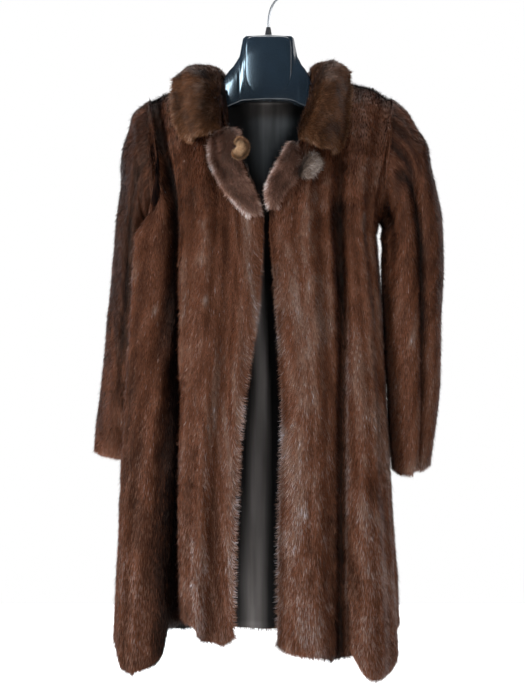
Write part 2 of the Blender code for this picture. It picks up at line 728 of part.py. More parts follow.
def make_body(outer, normals):
    """Back and fronts, each a top that ends below the armholes and a skirt that hangs from it."""
    side_left = FRONT_COLUMNS
    side_right = FRONT_COLUMNS + BACK_COLUMNS
    panels = (
        ("front_left", 0, side_left),
        ("coat_back", side_left, side_right),
        ("front_right", side_right, outer.shape[1] - 1),
    )
    for name, first, last in panels:
        face, normal = inset_borders(outer, normals, first, last)
        inner = inside_armholes(face - normal * FUR_WALL, 0)
        tops, skirts = [], []
        for layer in (face, inner):
            top, skirt = layer[: YOKE_ROWS + 1].copy(), layer[YOKE_ROWS:].copy()
            top[-1] += unit(top[-2] - top[-1]) * WAIST_GAP
            tops.append(top)
            skirts.append(skirt)
        add_wall(f"{name}_top", *tops, False, (0.105, 0.055, 0.038), 0.6)
        add_wall(f"{name}_skirt", *skirts, False, (0.105, 0.055, 0.038), 0.6)


def make_lining(outer, normals):
    """The back's satin lining, a thin wall just inside its skin."""
    walls = []
    for depth in (SEAM_GAP, SEAM_GAP + LINING_WALL):
        wall = inside_armholes(outer - normals * (FUR_WALL + depth), 2 * depth)
        wall = wall[1:, FRONT_COLUMNS + 1 : FRONT_COLUMNS + BACK_COLUMNS]
        wall[-1] += unit(wall[-2] - wall[-1]) * LINING_HEM
        walls.append(wall)
    add_wall("lining_back", *walls, False, (0.115, 0.095, 0.09), 0.35)


def make_sleeve(side, rings):
    """A sleeve's tube from its armhole to its cuff."""
    count = (len(rings) - 1) * SLEEVE_ROWS_PER_RING + 1
    at = np.linspace(0, len(rings) - 1, count)
    numbered = [NumberedRing(index, ring) for index, ring in enumerate(rings)]
    value = {
        key: table_curve(numbered, "number", key, at)
        for key in ("outer_x", "outer_z", "inner_x", "inner_z", "depth", "middle")
    }
    outside = np.stack([value["outer_x"], value["middle"], value["outer_z"]], axis=-1)
    inside = np.stack([value["inner_x"], value["middle"], value["inner_z"]], axis=-1)
    angles = np.arange(SLEEVE_COLUMNS) * 360 / SLEEVE_COLUMNS
    turn = np.radians(angles)[None, :, None]
    middle = ((outside + inside) / 2)[:, None]
    spread = ((outside - inside) / 2)[:, None]
    forward = np.array([0.0, -1.0, 0.0]) * value["depth"][:, None, None]
    tube = middle + np.cos(turn) * spread + np.sin(turn) * forward
    normals = tube_normals(tube, side.sign)
    share = (at / at[-1])[:, None]
    push = np.zeros(tube.shape[:2])
    for fold in SLEEVE_FOLDS:
        if fold.side != side.sign:
            continue
        angle = fold.angle + (fold.cuff_angle - fold.angle) * share
        away = (angles[None] - angle + 180) % 360 - 180
        near = np.exp(-((away / 360 * SLEEVE_GIRTH / fold.width) ** 2))
        push += fold.depth * ease(share / SLEEVE_FOLDS_START) * near
    push[0] = 0
    tube = tube + normals * push[..., None]
    normals = tube_normals(tube, side.sign)
    for column, angle in enumerate(angles):
        normals[0, column] = armhole_normal(side, -angle)
    normals[-1, :, 2] = 0
    normals = unit(normals)
    tube[0] += np.array([side.sign * SEAM_GAP / 2, 0, 0])
    if side.sign < 0:
        tube, normals = tube[:, ::-1], normals[:, ::-1]
    colour = (0.095, 0.052, 0.036)
    add_wall(f"sleeve_{side.name}", tube, tube - normals * SLEEVE_WALL, True, colour, 0.6)


class NumberedRing:
    """A sleeve ring with its number, so that a table curve can run through the rings in order."""

    def __init__(self, number, ring):
        self.number = number
        for key, value in ring._asdict().items():
            setattr(self, key, value)


def tube_normals(tube, sign):
    """Outward normals of a sleeve's tube."""
    down = np.gradient(tube, axis=0)
    around = (np.roll(tube, -1, axis=1) - np.roll(tube, 1, axis=1)) / 2
    return unit(np.cross(around, down)) * sign


def make_collar(tree):
    """The rolled collar: it stands at the neck, turns over its crest and falls on the shoulders."""
    names = ("neck", "crest", "edge")
    stations = np.array([[getattr(row, name) for name in names] for row in COLLAR], float)
    walls = np.array([row.wall for row in COLLAR])
    count = (len(COLLAR) - 1) * COLLAR_ROWS_PER_STATION + 1
    at = np.linspace(0, len(COLLAR) - 1, count)
    line = smooth_rows(stations.reshape(len(COLLAR), -1), at).reshape(count, 3, 3)
    wall = np.interp(at, np.arange(len(COLLAR)), walls) * COLLAR_WALL
    shares = np.linspace(0, 1, COLLAR_COLUMNS // 2 + 1)
    rows = []
    for neck, crest, edge in line:
        out = unit(edge - neck)
        out[2] = 0
        fall = np.linalg.norm(edge - crest)
        rise = np.linalg.norm(crest - neck)
        stand = hermite(neck, np.array([0, 0, rise]), crest, out * rise, shares)
        drop = edge - crest
        turn_over = hermite(crest, out * fall * COLLAR_ROLL, edge, drop, shares)
        rows.append(np.concatenate([stand, turn_over[1:]]))
    middle = np.array(rows)
    for row, thickness in zip(middle, wall):
        falling = row[len(shares) :]
        for column, (x, y, z) in enumerate(falling):
            hit = tree.ray_cast(Vector((x, -FAR, z)), Vector((0, 1, 0)), FAR)[0]
            if y < 0 and hit is not None:
                settled = hit.y - thickness / 2 - COLLAR_LIFT
                share = ease((column + 1) / len(falling)) * ease(-y / COLLAR_SETTLES)
                falling[column, 1] += (settled - y) * share
    normals = surface_normals(middle)
    columns = middle.shape[1]
    inward = np.clip(np.minimum(np.arange(columns), np.arange(columns)[::-1]) / 2, 0, 1)
    thick = wall[:, None] * (COLLAR_EDGE + (1 - COLLAR_EDGE) * inward)[None]
    half = thick[..., None] / 2
    front, back = middle - normals * half, middle + normals * half
    add_wall("collar", front[:, ::-1], back[:, ::-1], False, (0.06, 0.033, 0.024), 0.6)


def smooth_rows(rows, at):
    """Rows of numbers read on a smooth curve at fractional row numbers."""
    slopes = np.gradient(rows, axis=0)
    index = np.clip(np.floor(at).astype(int), 0, len(rows) - 2)
    share = (at - index)[:, None]
    return (
        (2 * share**3 - 3 * share**2 + 1) * rows[index]
        + (share**3 - 2 * share**2 + share) * slopes[index]
        + (3 * share**2 - 2 * share**3) * rows[index + 1]
        + (share**3 - share**2) * slopes[index + 1]
    )


def surface_tree(outer):
    """The body's outer surface as a tree that can be looked up in millimetres."""
    rows, columns = outer.shape[:2]
    faces = []
    for row in range(rows - 1):
        for column in range(columns - 1):
            a = row * columns + column
            faces += halves(a, a + 1, a + columns + 1, a + columns)
    return BVHTree.FromPolygons([Vector(point) for point in outer.reshape(-1, 3)], faces)


def front_depth(tree, x, z):
    """The foremost Y of the front's surface around a point seen from the front."""
    found = []
    for side, up in ((0, 0), (-1, 0), (1, 0), (0, -1), (0, 1)):
        start = Vector((x + side * FACING_PROBE, -FAR, z + up * FACING_PROBE))
        hit = tree.ray_cast(start, Vector((0, 1, 0)), FAR)[0]
        if hit is not None:
            found.append(hit.y)
    if found:
        return min(found)
    return tree.find_nearest(Vector((x, -BODY[0].front, z)))[0].y


def make_facing(name, rows, tree):
    """A front's top corner, turned out and lying on the front."""
    count = len(rows)
    face, under = [], []
    for number, row in enumerate(rows):
        ends = min(number, count - 1 - number)
        for share in np.linspace(-1, 1, FACING_COLUMNS + 1):
            crown = math.sqrt(1 - FACING_ROUND * share * share) * (FACING_END if ends == 0 else 1.0)
            x = row.middle + row.half_width * share
            y = front_depth(tree, x, row.level) - FACING_LIFT
            under.append((x, y, row.level))
            face.append((x, y - FACING_WALL * crown, row.level))
    shape = (count, FACING_COLUMNS + 1, 3)
    face, under = np.array(face).reshape(shape), np.array(under).reshape(shape)
    add_wall(name, face[:, ::-1], under[:, ::-1], False, (0.17, 0.10, 0.075), 0.6)


def add_blob(name, centre, size, tilt, colour, roughness):
    """A rounded solid: a ball stretched to its size and tilted about Y."""
    bpy.ops.mesh.primitive_ico_sphere_add(subdivisions=2, radius=1.0)
    thing = bpy.context.object
    thing.name = name
    thing.data.name = name
    turn = math.radians(tilt)
    for vertex in thing.data.vertices:
        x, y, z = (value * reach for value, reach in zip(vertex.co, size))
        x, z = x * math.cos(turn) + z * math.sin(turn), z * math.cos(turn) - x * math.sin(turn)
        vertex.co = [(value + start) * MM for value, start in zip((x, y, z), centre)]
    thing.data.shade_smooth()
    thing.data.materials.append(make_material(name, colour, roughness, 0.0))


def make_hanger():
    """The moulded plate and arms, lofted along X, and the shield that stands off the plate's front."""
    points, faces = [], []
    corners = HANGER_CORNERS
    for row in HANGER:
        middle, half = (row.top + row.bottom) / 2, (row.top - row.bottom) / 2
        for corner in range(corners):
            turn = 2 * math.pi * (corner + 0.5) / corners
            across, up = math.cos(turn), math.sin(turn)
            y = row.half_depth * math.copysign(abs(across) ** HANGER_DEPTH_ROUND, across)
            z = middle + half * math.copysign(abs(up) ** HANGER_HEIGHT_ROUND, up)
            points.append((row.x, y, z))
    for row in range(len(HANGER) - 1):
        for corner in range(corners):
            after = (corner + 1) % corners
            a, b = row * corners + corner, row * corners + after
            faces.append((a, b, b + corners, a + corners))
    faces.append(tuple(range(corners))[::-1])
    faces.append(tuple(range((len(HANGER) - 1) * corners, len(HANGER) * corners)))
    add_mesh("hanger_body", points, faces, (0.02, 0.028, 0.04), 0.15)

    outline = [(-SHIELD_SIDE, SHIELD_TOP), (SHIELD_SIDE, SHIELD_TOP)]
    for step in range(SHIELD_STEPS + 1):
        turn = math.pi * step / SHIELD_STEPS
        drop = (SHIELD_BOTTOM - SHIELD_WAIST) * math.sin(turn)
        outline.append((SHIELD_FLARE * math.cos(turn), SHIELD_WAIST + drop))
    count = len(outline)
    rear = -max(row.half_depth for row in HANGER if abs(row.x) < SHIELD_SIDE) - SEAM_GAP
    points = [(x, rear, z) for x, z in outline] + [(x, rear - SHIELD_DEPTH, z) for x, z in outline]
    faces = [tuple(range(count)), tuple(range(count, 2 * count))[::-1]]
    for start in range(count):
        after = (start + 1) % count
        faces.append((after, start, start + count, after + count))
    add_mesh("hanger_shield", points, faces, (0.02, 0.028, 0.04), 0.12, smooth=False)


def make_plug():
    """The tapered plug between the plate and the wire."""
    foot = max(row.top for row in HANGER) + SEAM_GAP
    height = PLUG_TOP - foot
    bpy.ops.mesh.primitive_cone_add(
        vertices=24,
        radius1=PLUG_FOOT_RADIUS * MM,
        radius2=PLUG_RADIUS * MM,
        depth=height * MM,
        location=(0, 0, (foot + height / 2) * MM),
    )
    thing = bpy.context.object
    thing.name = "hanger_plug"
    thing.data.shade_smooth()
    thing.data.set_sharp_from_angle(angle=math.radians(40))
    thing.data.materials.append(make_material("hanger_plug", (0.015, 0.015, 0.018), 0.3, 0.0))


def make_hook():
    """The wire: a short stem that swings out into a round bow, open on the left."""
    centre = WIRE_RADIUS - BOW_RADIUS
    start = math.radians(BOW_START)
    bow_foot = np.array([BOW_RADIUS * math.cos(start), 0, centre + BOW_RADIUS * math.sin(start)])
    foot = np.array([0, 0, PLUG_TOP + SEAM_GAP])
    reach = bow_foot[2] - foot[2]
    heading = np.array([-math.sin(start), 0, math.cos(start)])
    shares = np.linspace(0, 1, STEM_STEPS)
    stem = hermite(foot, np.array([0, 0, reach]), bow_foot, heading * reach, shares)
    bow = [
        (BOW_RADIUS * math.cos(turn), 0, centre + BOW_RADIUS * math.sin(turn))
        for turn in np.radians(np.linspace(BOW_START, BOW_END, BOW_STEPS)[1:])
    ]
    route = [tuple(point) for point in stem] + bow
    curve = bpy.data.curves.new("hanger_hook", "CURVE")
    curve.dimensions = "3D"
    curve.bevel_depth = WIRE_RADIUS * MM
    curve.bevel_resolution = 3
    curve.use_fill_caps = True
    spline = curve.splines.new("POLY")
    spline.points.add(len(route) - 1)
    for point, place in zip(spline.points, route):
        point.co = (*(float(value) * MM for value in place), 1.0)
    thing = bpy.data.objects.new("hanger_hook", curve)
    bpy.context.collection.objects.link(thing)
    curve.materials.append(make_material("hanger_hook", (0.5, 0.52, 0.55), 0.25, 1.0))


def main():
    for thing in list(bpy.data.objects):
        bpy.data.objects.remove(thing, do_unlink=True)
    outer, normals = body_grid()
    make_body(outer, normals)
    make_lining(outer, normals)
    make_sleeve(LEFT, LEFT_SLEEVE)
    make_sleeve(RIGHT, RIGHT_SLEEVE)
    tree = surface_tree(outer)
    make_collar(tree)
    make_facing("facing_left", LEFT_FACING, tree)
    make_facing("facing_right", RIGHT_FACING, tree)
    add_blob("button_ball", BUTTON_CENTRE, BUTTON_SIZE, 0, (0.28, 0.19, 0.12), 0.6)
    add_blob("loop_tab", TAB_CENTRE, TAB_SIZE, TAB_TILT, (0.18, 0.15, 0.13), 0.6)
    make_hanger()
    make_plug()
    make_hook()


main()
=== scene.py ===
"""A let-out fur coat that hangs open on a furrier's hanger: skins, pile, satin lining and hanger.

Tables are in millimetres and meshes are in metres. Left is -X, right is +X and the front faces -Y. The
body of the coat is one surface from the left front edge round the back to the right front edge. A place
round it is a number: 0 is the centre front, -1 and 1 are the side seams, and -2 and 2 the centre back.
"""

from __future__ import annotations

import logging
import math
from collections.abc import Callable, Sequence
from dataclasses import dataclass, field
from enum import Enum
from typing import NamedTuple, TypeVar

import bmesh
import bpy
import numpy as np
from bpy.types import Material, Node, NodeSocket, NodeTree, Object
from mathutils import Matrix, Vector
from mathutils.bvhtree import BVHTree


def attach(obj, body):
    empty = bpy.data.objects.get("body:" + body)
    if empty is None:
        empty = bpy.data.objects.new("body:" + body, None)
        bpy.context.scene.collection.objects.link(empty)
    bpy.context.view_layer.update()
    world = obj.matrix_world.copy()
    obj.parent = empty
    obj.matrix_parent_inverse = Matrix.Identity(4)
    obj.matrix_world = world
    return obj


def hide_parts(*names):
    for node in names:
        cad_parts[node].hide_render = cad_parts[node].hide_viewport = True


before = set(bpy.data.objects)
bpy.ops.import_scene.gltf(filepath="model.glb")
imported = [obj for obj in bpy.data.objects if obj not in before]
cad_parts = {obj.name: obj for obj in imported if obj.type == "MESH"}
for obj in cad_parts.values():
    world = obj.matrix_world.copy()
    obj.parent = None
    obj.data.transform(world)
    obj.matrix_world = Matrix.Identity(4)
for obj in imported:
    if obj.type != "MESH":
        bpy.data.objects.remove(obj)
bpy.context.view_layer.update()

LOG = logging.getLogger("fur_coat")
MM = 0.001
ROOT = "root"
UV_MAP = "OFBake"
TONE = "tone"
Grid = np.ndarray
Triple = tuple[float, float, float]
Stops = Sequence[tuple[float, Triple]]
Row = TypeVar("Row")


class Side(Enum):
    """The coat's two sides, by the sign of X."""

    LEFT = -1
    RIGHT = 1


class Section(NamedTuple):
    """The body's ring at one level: how far it reaches each way, and where the front edges hang."""

    level: float
    left: float
    right: float
    front: float
    back: float
    left_edge: float
    right_edge: float


class HemPoint(NamedTuple):
    """The level of the hem at a place round the body."""

    place: float
    level: float


class Fold(NamedTuple):
    """A ridge (depth above 0) or trough round the body, with its numbers at the yoke and at the hem."""

    place: float
    hem_place: float
    width: float
    hem_width: float
    depth: float
    hem_depth: float
    start: float


class Armhole(NamedTuple):
    """One side's neck, shoulder and armhole."""

    neck: Triple
    shoulder_bow: float
    tip: Triple
    underarm: Triple
    break_level: float
    neck_controls: tuple[Triple, Triple]


class SleeveRing(NamedTuple):
    """A sleeve's ring: its outer and inner points seen from the front, and its depth along Y."""

    outer_x: float
    outer_z: float
    inner_x: float
    inner_z: float
    depth: float
    middle: float


class SleeveFold(NamedTuple):
    """A crease along a sleeve. The angle is 0 outside, 90 in front and 180 inside."""

    side: Side
    angle: float
    cuff_angle: float
    width: float
    depth: float
    start: float
    end: float


class CollarStation(NamedTuple):
    """A cut through the collar: neck seam, top of the roll and outer edge."""

    neck: Triple
    crest: Triple
    edge: Triple
    wall: float


class FacingRow(NamedTuple):
    """A turned-out corner at one level: its middle and half its width, seen from the front."""

    level: float
    middle: float
    half_width: float


class HangerSection(NamedTuple):
    """A cut through the hanger at one X."""

    x: float
    top: float
    bottom: float
    half_depth: float


class PaintedSheen(NamedTuple):
    """A band of painted sheen down the coat, where light grazes a fold's flank: paler pile and more silver
    tips.
    """

    place: float
    hem_place: float
    width: float
    top: float
    gain: float


class Glow(NamedTuple):
    """How light falls on the back's satin through the opening, at one level."""

    level: float
    left: float
    right: float
    light: float


class Layer(NamedTuple):
    """A layer of noise: its strength, its grain across and down in millimetres, and its seed."""

    gain: float
    across: float
    down: float
    seed: int


class Lamp(NamedTuple):
    """A soft square light: where it hangs, what it points at, its side in metres, watts and colour."""

    name: str
    place: Triple
    aim: Triple
    size: float
    power: float
    colour: Triple


class Cut(NamedTuple):
    """A piece laid flat before it is sewn: its width and length in metres, and its area."""

    width: float
    length: float
    area: float


def table(kind: Callable[..., Row], *rows: Sequence[object]) -> tuple[Row, ...]:
    """Rows of one kind, from their bare numbers."""
    return tuple(kind(*row) for row in rows)


BODY = table(
    Section,
    (-442, 184, 190, 102, 74, -8, 1), (-560, 190, 199, 116, 86, -17, 11),
    (-720, 197, 205, 127, 97, -41, 21), (-900, 208, 211, 135, 108, -53, 16),
    (-1160, 217, 222, 144, 122, -58, 14),
)
HEM = table(
    HemPoint,
    (-2.0, -1136), (-1.5, -1126), (-1.0, -1112.5), (-0.825, -1111), (-0.807, -1113), (-0.79, -1120),
    (-0.772, -1131), (-0.755, -1145), (-0.737, -1153), (-0.72, -1153), (-0.702, -1149), (-0.684, -1144),
    (-0.667, -1138), (-0.658, -1134), (-0.652, -1092), (-0.645, -1085), (-0.614, -1082), (-0.579, -1076),
    (-0.544, -1070), (-0.492, -1064), (-0.457, -1062.5), (-0.421, -1065), (-0.386, -1072),
    (-0.351, -1080.5), (-0.316, -1090), (-0.281, -1094), (-0.246, -1094), (-0.211, -1088.5),
    (-0.193, -1080), (0.02, -1084), (0.047, -1092), (0.068, -1100.5), (0.088, -1105.5), (0.13, -1108),
    (0.212, -1111), (0.254, -1111.5), (0.295, -1114), (0.337, -1119), (0.378, -1124), (0.399, -1116),
    (0.42, -1113), (0.44, -1133), (0.461, -1140.5), (0.481, -1143.5), (0.523, -1146), (0.585, -1146),
    (0.627, -1149), (0.647, -1149), (0.668, -1147), (0.689, -1143), (0.71, -1139), (0.73, -1134.5),
    (0.772, -1129), (0.83, -1122), (0.9, -1119), (1.0, -1120), (1.5, -1130), (2.0, -1136),
)
FOLDS = table(
    Fold,
    (-0.67, -0.59, 0.06, 0.088, -36, -72, 0.15), (-0.81, -0.79, 0.11, 0.12, 46, 46, 0.0),
    (-0.40, -0.38, 0.09, 0.06, 4, 8, 0.3), (-0.27, -0.30, 0.04, 0.035, -3, -9, 0.2),
    (0.44, 0.385, 0.045, 0.045, -14, -24, 0.3), (0.57, 0.53, 0.09, 0.11, 8, 28, 0.2),
    (0.24, 0.22, 0.10, 0.10, 3, 8, 0.3), (-1.00, -1.02, 0.14, 0.13, -10, -22, 0.0),
    (-1.24, -1.10, 0.15, 0.12, -24, -4, 0.0), (0.86, 0.88, 0.16, 0.13, -11, -20, 0.0),
    (1.10, 1.02, 0.12, 0.10, -6, -4, 0.0), (0.72, 0.72, 0.08, 0.07, 0, 8, 0.2),
    (-1.30, -1.26, 0.11, 0.12, -2, 20, 0.2), (-1.47, -1.45, 0.08, 0.08, -6, -22, 0.2),
    (-1.72, -1.68, 0.11, 0.11, 3, 14, 0.2), (1.25, 1.22, 0.12, 0.12, 8, 20, 0.2),
    (1.50, 1.46, 0.09, 0.09, -6, -24, 0.2), (1.76, 1.74, 0.09, 0.11, 3, 12, 0.2),
)
CREASES = table(
    Fold,
    (0.445, 0.380, 0.016, 0.016, -6, -9, 0.6), (-0.655, -0.585, 0.020, 0.022, -6, -8, 0.5),
    (0.33, 0.325, 0.035, 0.035, -3, -4, 0.4), (0.23, 0.22, 0.050, 0.055, 3, 4, 0.4),
    (0.10, 0.09, 0.030, 0.030, -1, -3, 0.3), (-0.38, -0.36, 0.045, 0.045, 3, 4, 0.3),
    (-0.25, -0.245, 0.028, 0.030, -3, -4, 0.3), (-0.73, -0.74, 0.030, 0.030, -2, -3, 0.3),
    (0.62, 0.62, 0.035, 0.035, -3, -4, 0.3),
)
ARMHOLES = {
    Side.LEFT: Armhole(
        (-82, 0, -176), 8, (-201, 0, -207), (-197, 0, -408), -404, ((-30, -116, -350), (-88, -84, -215))
    ),
    Side.RIGHT: Armhole(
        (76, 0, -173), 11, (210, 0, -205), (190, 0, -410), -400, ((22, -116, -350), (82, -84, -215))
    ),
}
SLEEVES = {
    Side.LEFT: table(
        SleeveRing,
        (-201, -207, -197, -408, 60, 0), (-229, -233, -201, -418, 60, 8),
        (-247, -285, -203, -430, 59, 18), (-257, -360, -203, -448, 57, 27),
        (-267, -445, -202, -492, 55, 34), (-278, -570, -202, -585, 54, 39),
        (-295, -712, -206, -712, 53, 42), (-304, -810, -211, -818, 52, 42),
    ),
    Side.RIGHT: table(
        SleeveRing,
        (210, -205, 190, -410, 60, 0), (241, -238, 193, -420, 61, -8), (265, -290, 193, -430, 62, -18),
        (280, -365, 192, -446, 61, -28), (290, -450, 190, -490, 59, -36),
        (287, -575, 190, -590, 57, -42), (280, -712, 196, -716, 55, -46),
        (267, -826, 203, -834, 53, -48),
    ),
}
SLEEVE_FOLDS = table(
    SleeveFold,
    (Side.RIGHT, 108, 58, 20, -10, 0.0, 9.0), (Side.RIGHT, 250, 280, 24, -6, 0.0, 9.0),
    (Side.LEFT, 60, 45, 24, -5, 0.0, 9.0), (Side.LEFT, 255, 290, 24, -6, 0.0, 9.0),
    (Side.RIGHT, 106, 60, 8, -10, 0.0, 9.0), (Side.RIGHT, 150, 128, 9, -6, -0.2, 0.55),
    (Side.RIGHT, 84, 70, 8, -6, -0.2, 0.30), (Side.RIGHT, 62, 60, 8, -5, -0.2, 0.22),
    (Side.RIGHT, 40, 46, 8, -4, -0.2, 0.20), (Side.LEFT, 96, 80, 9, -5, -0.2, 0.8),
)
COLLAR = table(
    CollarStation,
    ((-84, -110, -288), (-108, -124, -296), (-134, -122, -292), 0.60),
    ((-76, -104, -272), (-104, -122, -268), (-150, -114, -276), 0.95),
    ((-82, -72, -214), (-105, -90, -204), (-161, -78, -234), 1.0),
    ((-80, -18, -170), (-121, -26, -162), (-162, -20, -180), 1.0),
    ((-66, 40, -172), (-84, 54, -157), (-132, 70, -206), 1.0),
    ((0, 66, -182), (0, 82, -167), (0, 98, -244), 1.0),
    ((62, 40, -170), (78, 54, -153), (120, 70, -202), 1.0),
    ((74, -18, -167), (107, -26, -155), (138, -20, -167), 1.0),
    ((70, -74, -220), (90, -92, -202), (139, -80, -228), 1.0),
    ((48, -108, -284), (80, -126, -282), (130, -114, -288), 0.95),
    ((54, -118, -308), (86, -130, -316), (112, -124, -310), 0.60),
)
FACINGS = {
    Side.LEFT: table(
        FacingRow,
        (-276, -66, 12), (-286, -69, 22), (-305, -72, 26), (-332, -70, 25), (-360, -56, 23),
        (-388, -40, 20), (-414, -24, 11),
    ),
    Side.RIGHT: table(
        FacingRow,
        (-300, 38, 7), (-318, 35, 12), (-340, 29, 18), (-360, 20, 21), (-380, 10, 14), (-402, 7, 7),
    ),
}
# Painted sheen: paler, silver-tipped bands down the folds' lit flanks.
PAINTED_SHEENS = table(
    PaintedSheen,
    (0.458, 0.393, 0.010, -480, 0.60), (-0.36, -0.35, 0.045, -900, 0.12), (0.22, 0.20, 0.05, -900, 0.06),
)
GLOWS = table(
    Glow,
    (-190, -78, 64, 0.50), (-239, -58, 62, 0.55), (-293, -44, 20, 0.25), (-346, -34, 2, 0.20),
    (-430, -34, -4, 0.50), (-596, -38, 2, 0.85), (-685, -38, 9, 0.95), (-775, -48, 14, 0.95),
    (-864, -54, 14, 0.90), (-953, -63, 14, 0.80), (-1042, -68, 12, 0.72), (-1120, -70, 11, 0.6),
)
HANGER = table(
    HangerSection,
    (-182, -232, -244, 9), (-176, -224, -248, 13), (-145, -207, -242, 14), (-112, -199, -233, 13),
    (-88, -199, -228, 11), (-80, -189, -227, 9), (-75, -174, -224, 9), (-70, -162, -222, 9),
    (-58, -150, -217, 8), (-49, -134, -214, 8), (-43, -104, -212, 8), (-38, -99, -211, 8),
    (0, -98, -209, 9), (38, -99, -211, 8), (43, -104, -213, 8), (49, -134, -215, 8), (57, -150, -219, 8),
    (66, -160, -223, 9), (71, -174, -225, 9), (76, -189, -227, 9), (84, -199, -229, 11),
    (112, -196, -232, 13), (150, -205, -242, 14), (184, -222, -247, 13), (190, -230, -242, 9),
)

BODY_LUMPS = table(Layer, (1.7, 55, 110, 3), (1.0, 24, 36, 4))
BODY_MOTTLE = table(Layer, (0.08, 45, 120, 31), (0.08, 20, 28, 32), (0.05, 9, 13, 33))
LINING_CREASES = table(Layer, (1.6, 13, 300, 41), (1.4, 34, 400, 42))
LINING_DRAPE = table(Layer, (0.16, 9, 160, 71), (0.08, 4, 90, 72))
SLEEVE_MOTTLE = table(Layer, (0.08, 40, 110, 61), (0.08, 17, 26, 62), (0.05, 8, 12, 63))
COLLAR_LUMPS = table(Layer, (1.4, 22, 26, 71), (0.7, 10, 12, 74))
COLLAR_MOTTLE = table(Layer, (0.12, 18, 22, 72), (0.12, 7, 8, 73))
FACING_MOTTLE = table(Layer, (0.16, 11, 15, 81), (0.12, 5, 6, 82))

LAMPS = table(
    Lamp,
    ("key", (-2.1, -1.5, -0.45), (0, 0, -0.62), 1.0, 78.0, (0.97, 0.98, 1.0)),
    ("front", (0.7, -2.5, -0.9), (0, 0, -0.75), 1.2, 12.0, (0.97, 0.98, 1.0)),
    ("window", (-0.62, -2.0, 0.30), (0, 0, -0.4), 0.5, 18.0, (0.62, 0.84, 1.0)),
    ("fill", (1.9, -1.8, 0.8), (0, 0, -0.5), 1.4, 22.0, (1.0, 0.97, 0.94)),
    ("rim_left", (-2.2, 0.9, 0.2), (0, 0, -0.6), 1.0, 12.0, (0.82, 0.90, 1.0)),
    ("rim_right", (2.2, 0.9, 0.2), (0, 0, -0.6), 1.0, 12.0, (0.88, 0.93, 1.0)),
    ("wall_wash", (0.0, 0.35, 2.2), (0, 1.6, -0.7), 2.6, 150.0, (1.0, 1.0, 1.0)),
)

YOKE_LEVEL = -442.0
ROUNDING = 0.6
SLIMNESS = 0.62
ARM_DEPTH = 60.0
BACK_NECK = (0.0, 56.0, -190.0)
NECK_PLACE = 0.29
TIP_PLACE = 0.67
BACK_NECK_PLACE = 0.30
BACK_TIP_PLACE = 0.70
FUR_WALL = 10.0
RAY = 500.0
NEAR = 6.0
SEAM_GAP = 0.15
THIN_WALL = 1.2
TURNED_UNDER = np.array([0.0, 0.0, -1.3])


# ---------------------------------------------------------------- numbers


def table_curve(rows: Sequence[NamedTuple], key: str, column: str, at: float | Grid) -> Grid:
    """Reads a column of a table on a smooth curve through its rows.

    Args:
        rows: The table.
        key: The column that the curve runs along.
        column: The column to read.
        at: Where along the key.

    Returns:
        The values, one for each place in at.
    """
    keys = np.array([getattr(row, key) for row in rows], float)
    values = np.array([getattr(row, column) for row in rows], float)
    if keys[0] > keys[-1]:
        keys, values = keys[::-1], values[::-1]
    slopes = np.gradient(values, keys)
    at = np.asarray(at, float)
    index = np.clip(np.searchsorted(keys, at) - 1, 0, len(keys) - 2)
    step = keys[index + 1] - keys[index]
    share = (at - keys[index]) / step
    return cubic(values[index], step * slopes[index], values[index + 1], step * slopes[index + 1], share)


def cubic(start: Grid, start_pull: Grid, end: Grid, end_pull: Grid, share: Grid) -> Grid:
    """The cubic that leaves start and arrives at end along the pulls."""
    square, cube = share * share, share**3
    return (
        (2 * cube - 3 * square + 1) * start
        + (cube - 2 * square + share) * start_pull
        + (3 * square - 2 * cube) * end
        + (cube - square) * end_pull
    )


def smooth_rows(rows: Grid, at: Grid) -> Grid:
    """Rows of numbers read on a smooth curve at fractional row numbers."""
    slopes = np.gradient(rows, axis=0)
    index = np.clip(np.floor(at).astype(int), 0, len(rows) - 2)
    share = (at - index)[:, None]
    return cubic(rows[index], slopes[index], rows[index + 1], slopes[index + 1], share)


def ease(share: float | Grid) -> Grid:
    """0 to 1 with a soft start and end."""
    share = np.clip(share, 0.0, 1.0)
    return share * share * (3 - 2 * share)


def unit(vectors: Grid) -> Grid:
    """Vectors made one long."""
    return vectors / np.maximum(np.linalg.norm(vectors, axis=-1, keepdims=True), 1e-9)


def lattice(i: Grid, j: Grid, seed: int) -> Grid:
    """A fixed number from -1 to 1 for each pair of whole numbers."""
    i, j = i.astype(np.int64), j.astype(np.int64)
    mixed = (i * 374761393 + j * 668265263 + seed * 144269504) & 0xFFFFFFFF
    mixed = ((mixed ^ (mixed >> 13)) * 1274126177) & 0xFFFFFFFF
    return ((mixed ^ (mixed >> 16)) & 0xFFFF) / 32767.5 - 1.0


def noise(x: Grid, y: Grid, seed: int) -> Grid:
    """Smooth noise from -1 to 1 with a grain of one unit."""
    left, low = np.floor(x), np.floor(y)
    across, up = ease(x - left), ease(y - low)
    bottom = lattice(left, low, seed) * (1 - across) + lattice(left + 1, low, seed) * across
    top = lattice(left, low + 1, seed) * (1 - across) + lattice(left + 1, low + 1, seed) * across
    return bottom * (1 - up) + top * up


def mottle(across: Grid, down: Grid, layers: Sequence[Layer]) -> Grid:
    """Layers of noise added up."""
    return sum(layer.gain * noise(across / layer.across, down / layer.down, layer.seed) for layer in layers)


def cells(rows: int, columns: int) -> tuple[Grid, Grid]:
    """The row and the column of each cell of a grid, row by row."""
    return np.divmod(np.arange(rows * columns), columns)


def joined(grid: Grid) -> Grid:
    """A ring's grid with its first column again at its end."""
    return np.concatenate([grid, grid[:, :1]], 1)


def surface_normals(grid: Grid) -> Grid:
    """Outward normals of a grid whose rows run down and whose columns run clockwise seen from above."""
    return unit(np.cross(np.gradient(grid, axis=1), np.gradient(grid, axis=0)))


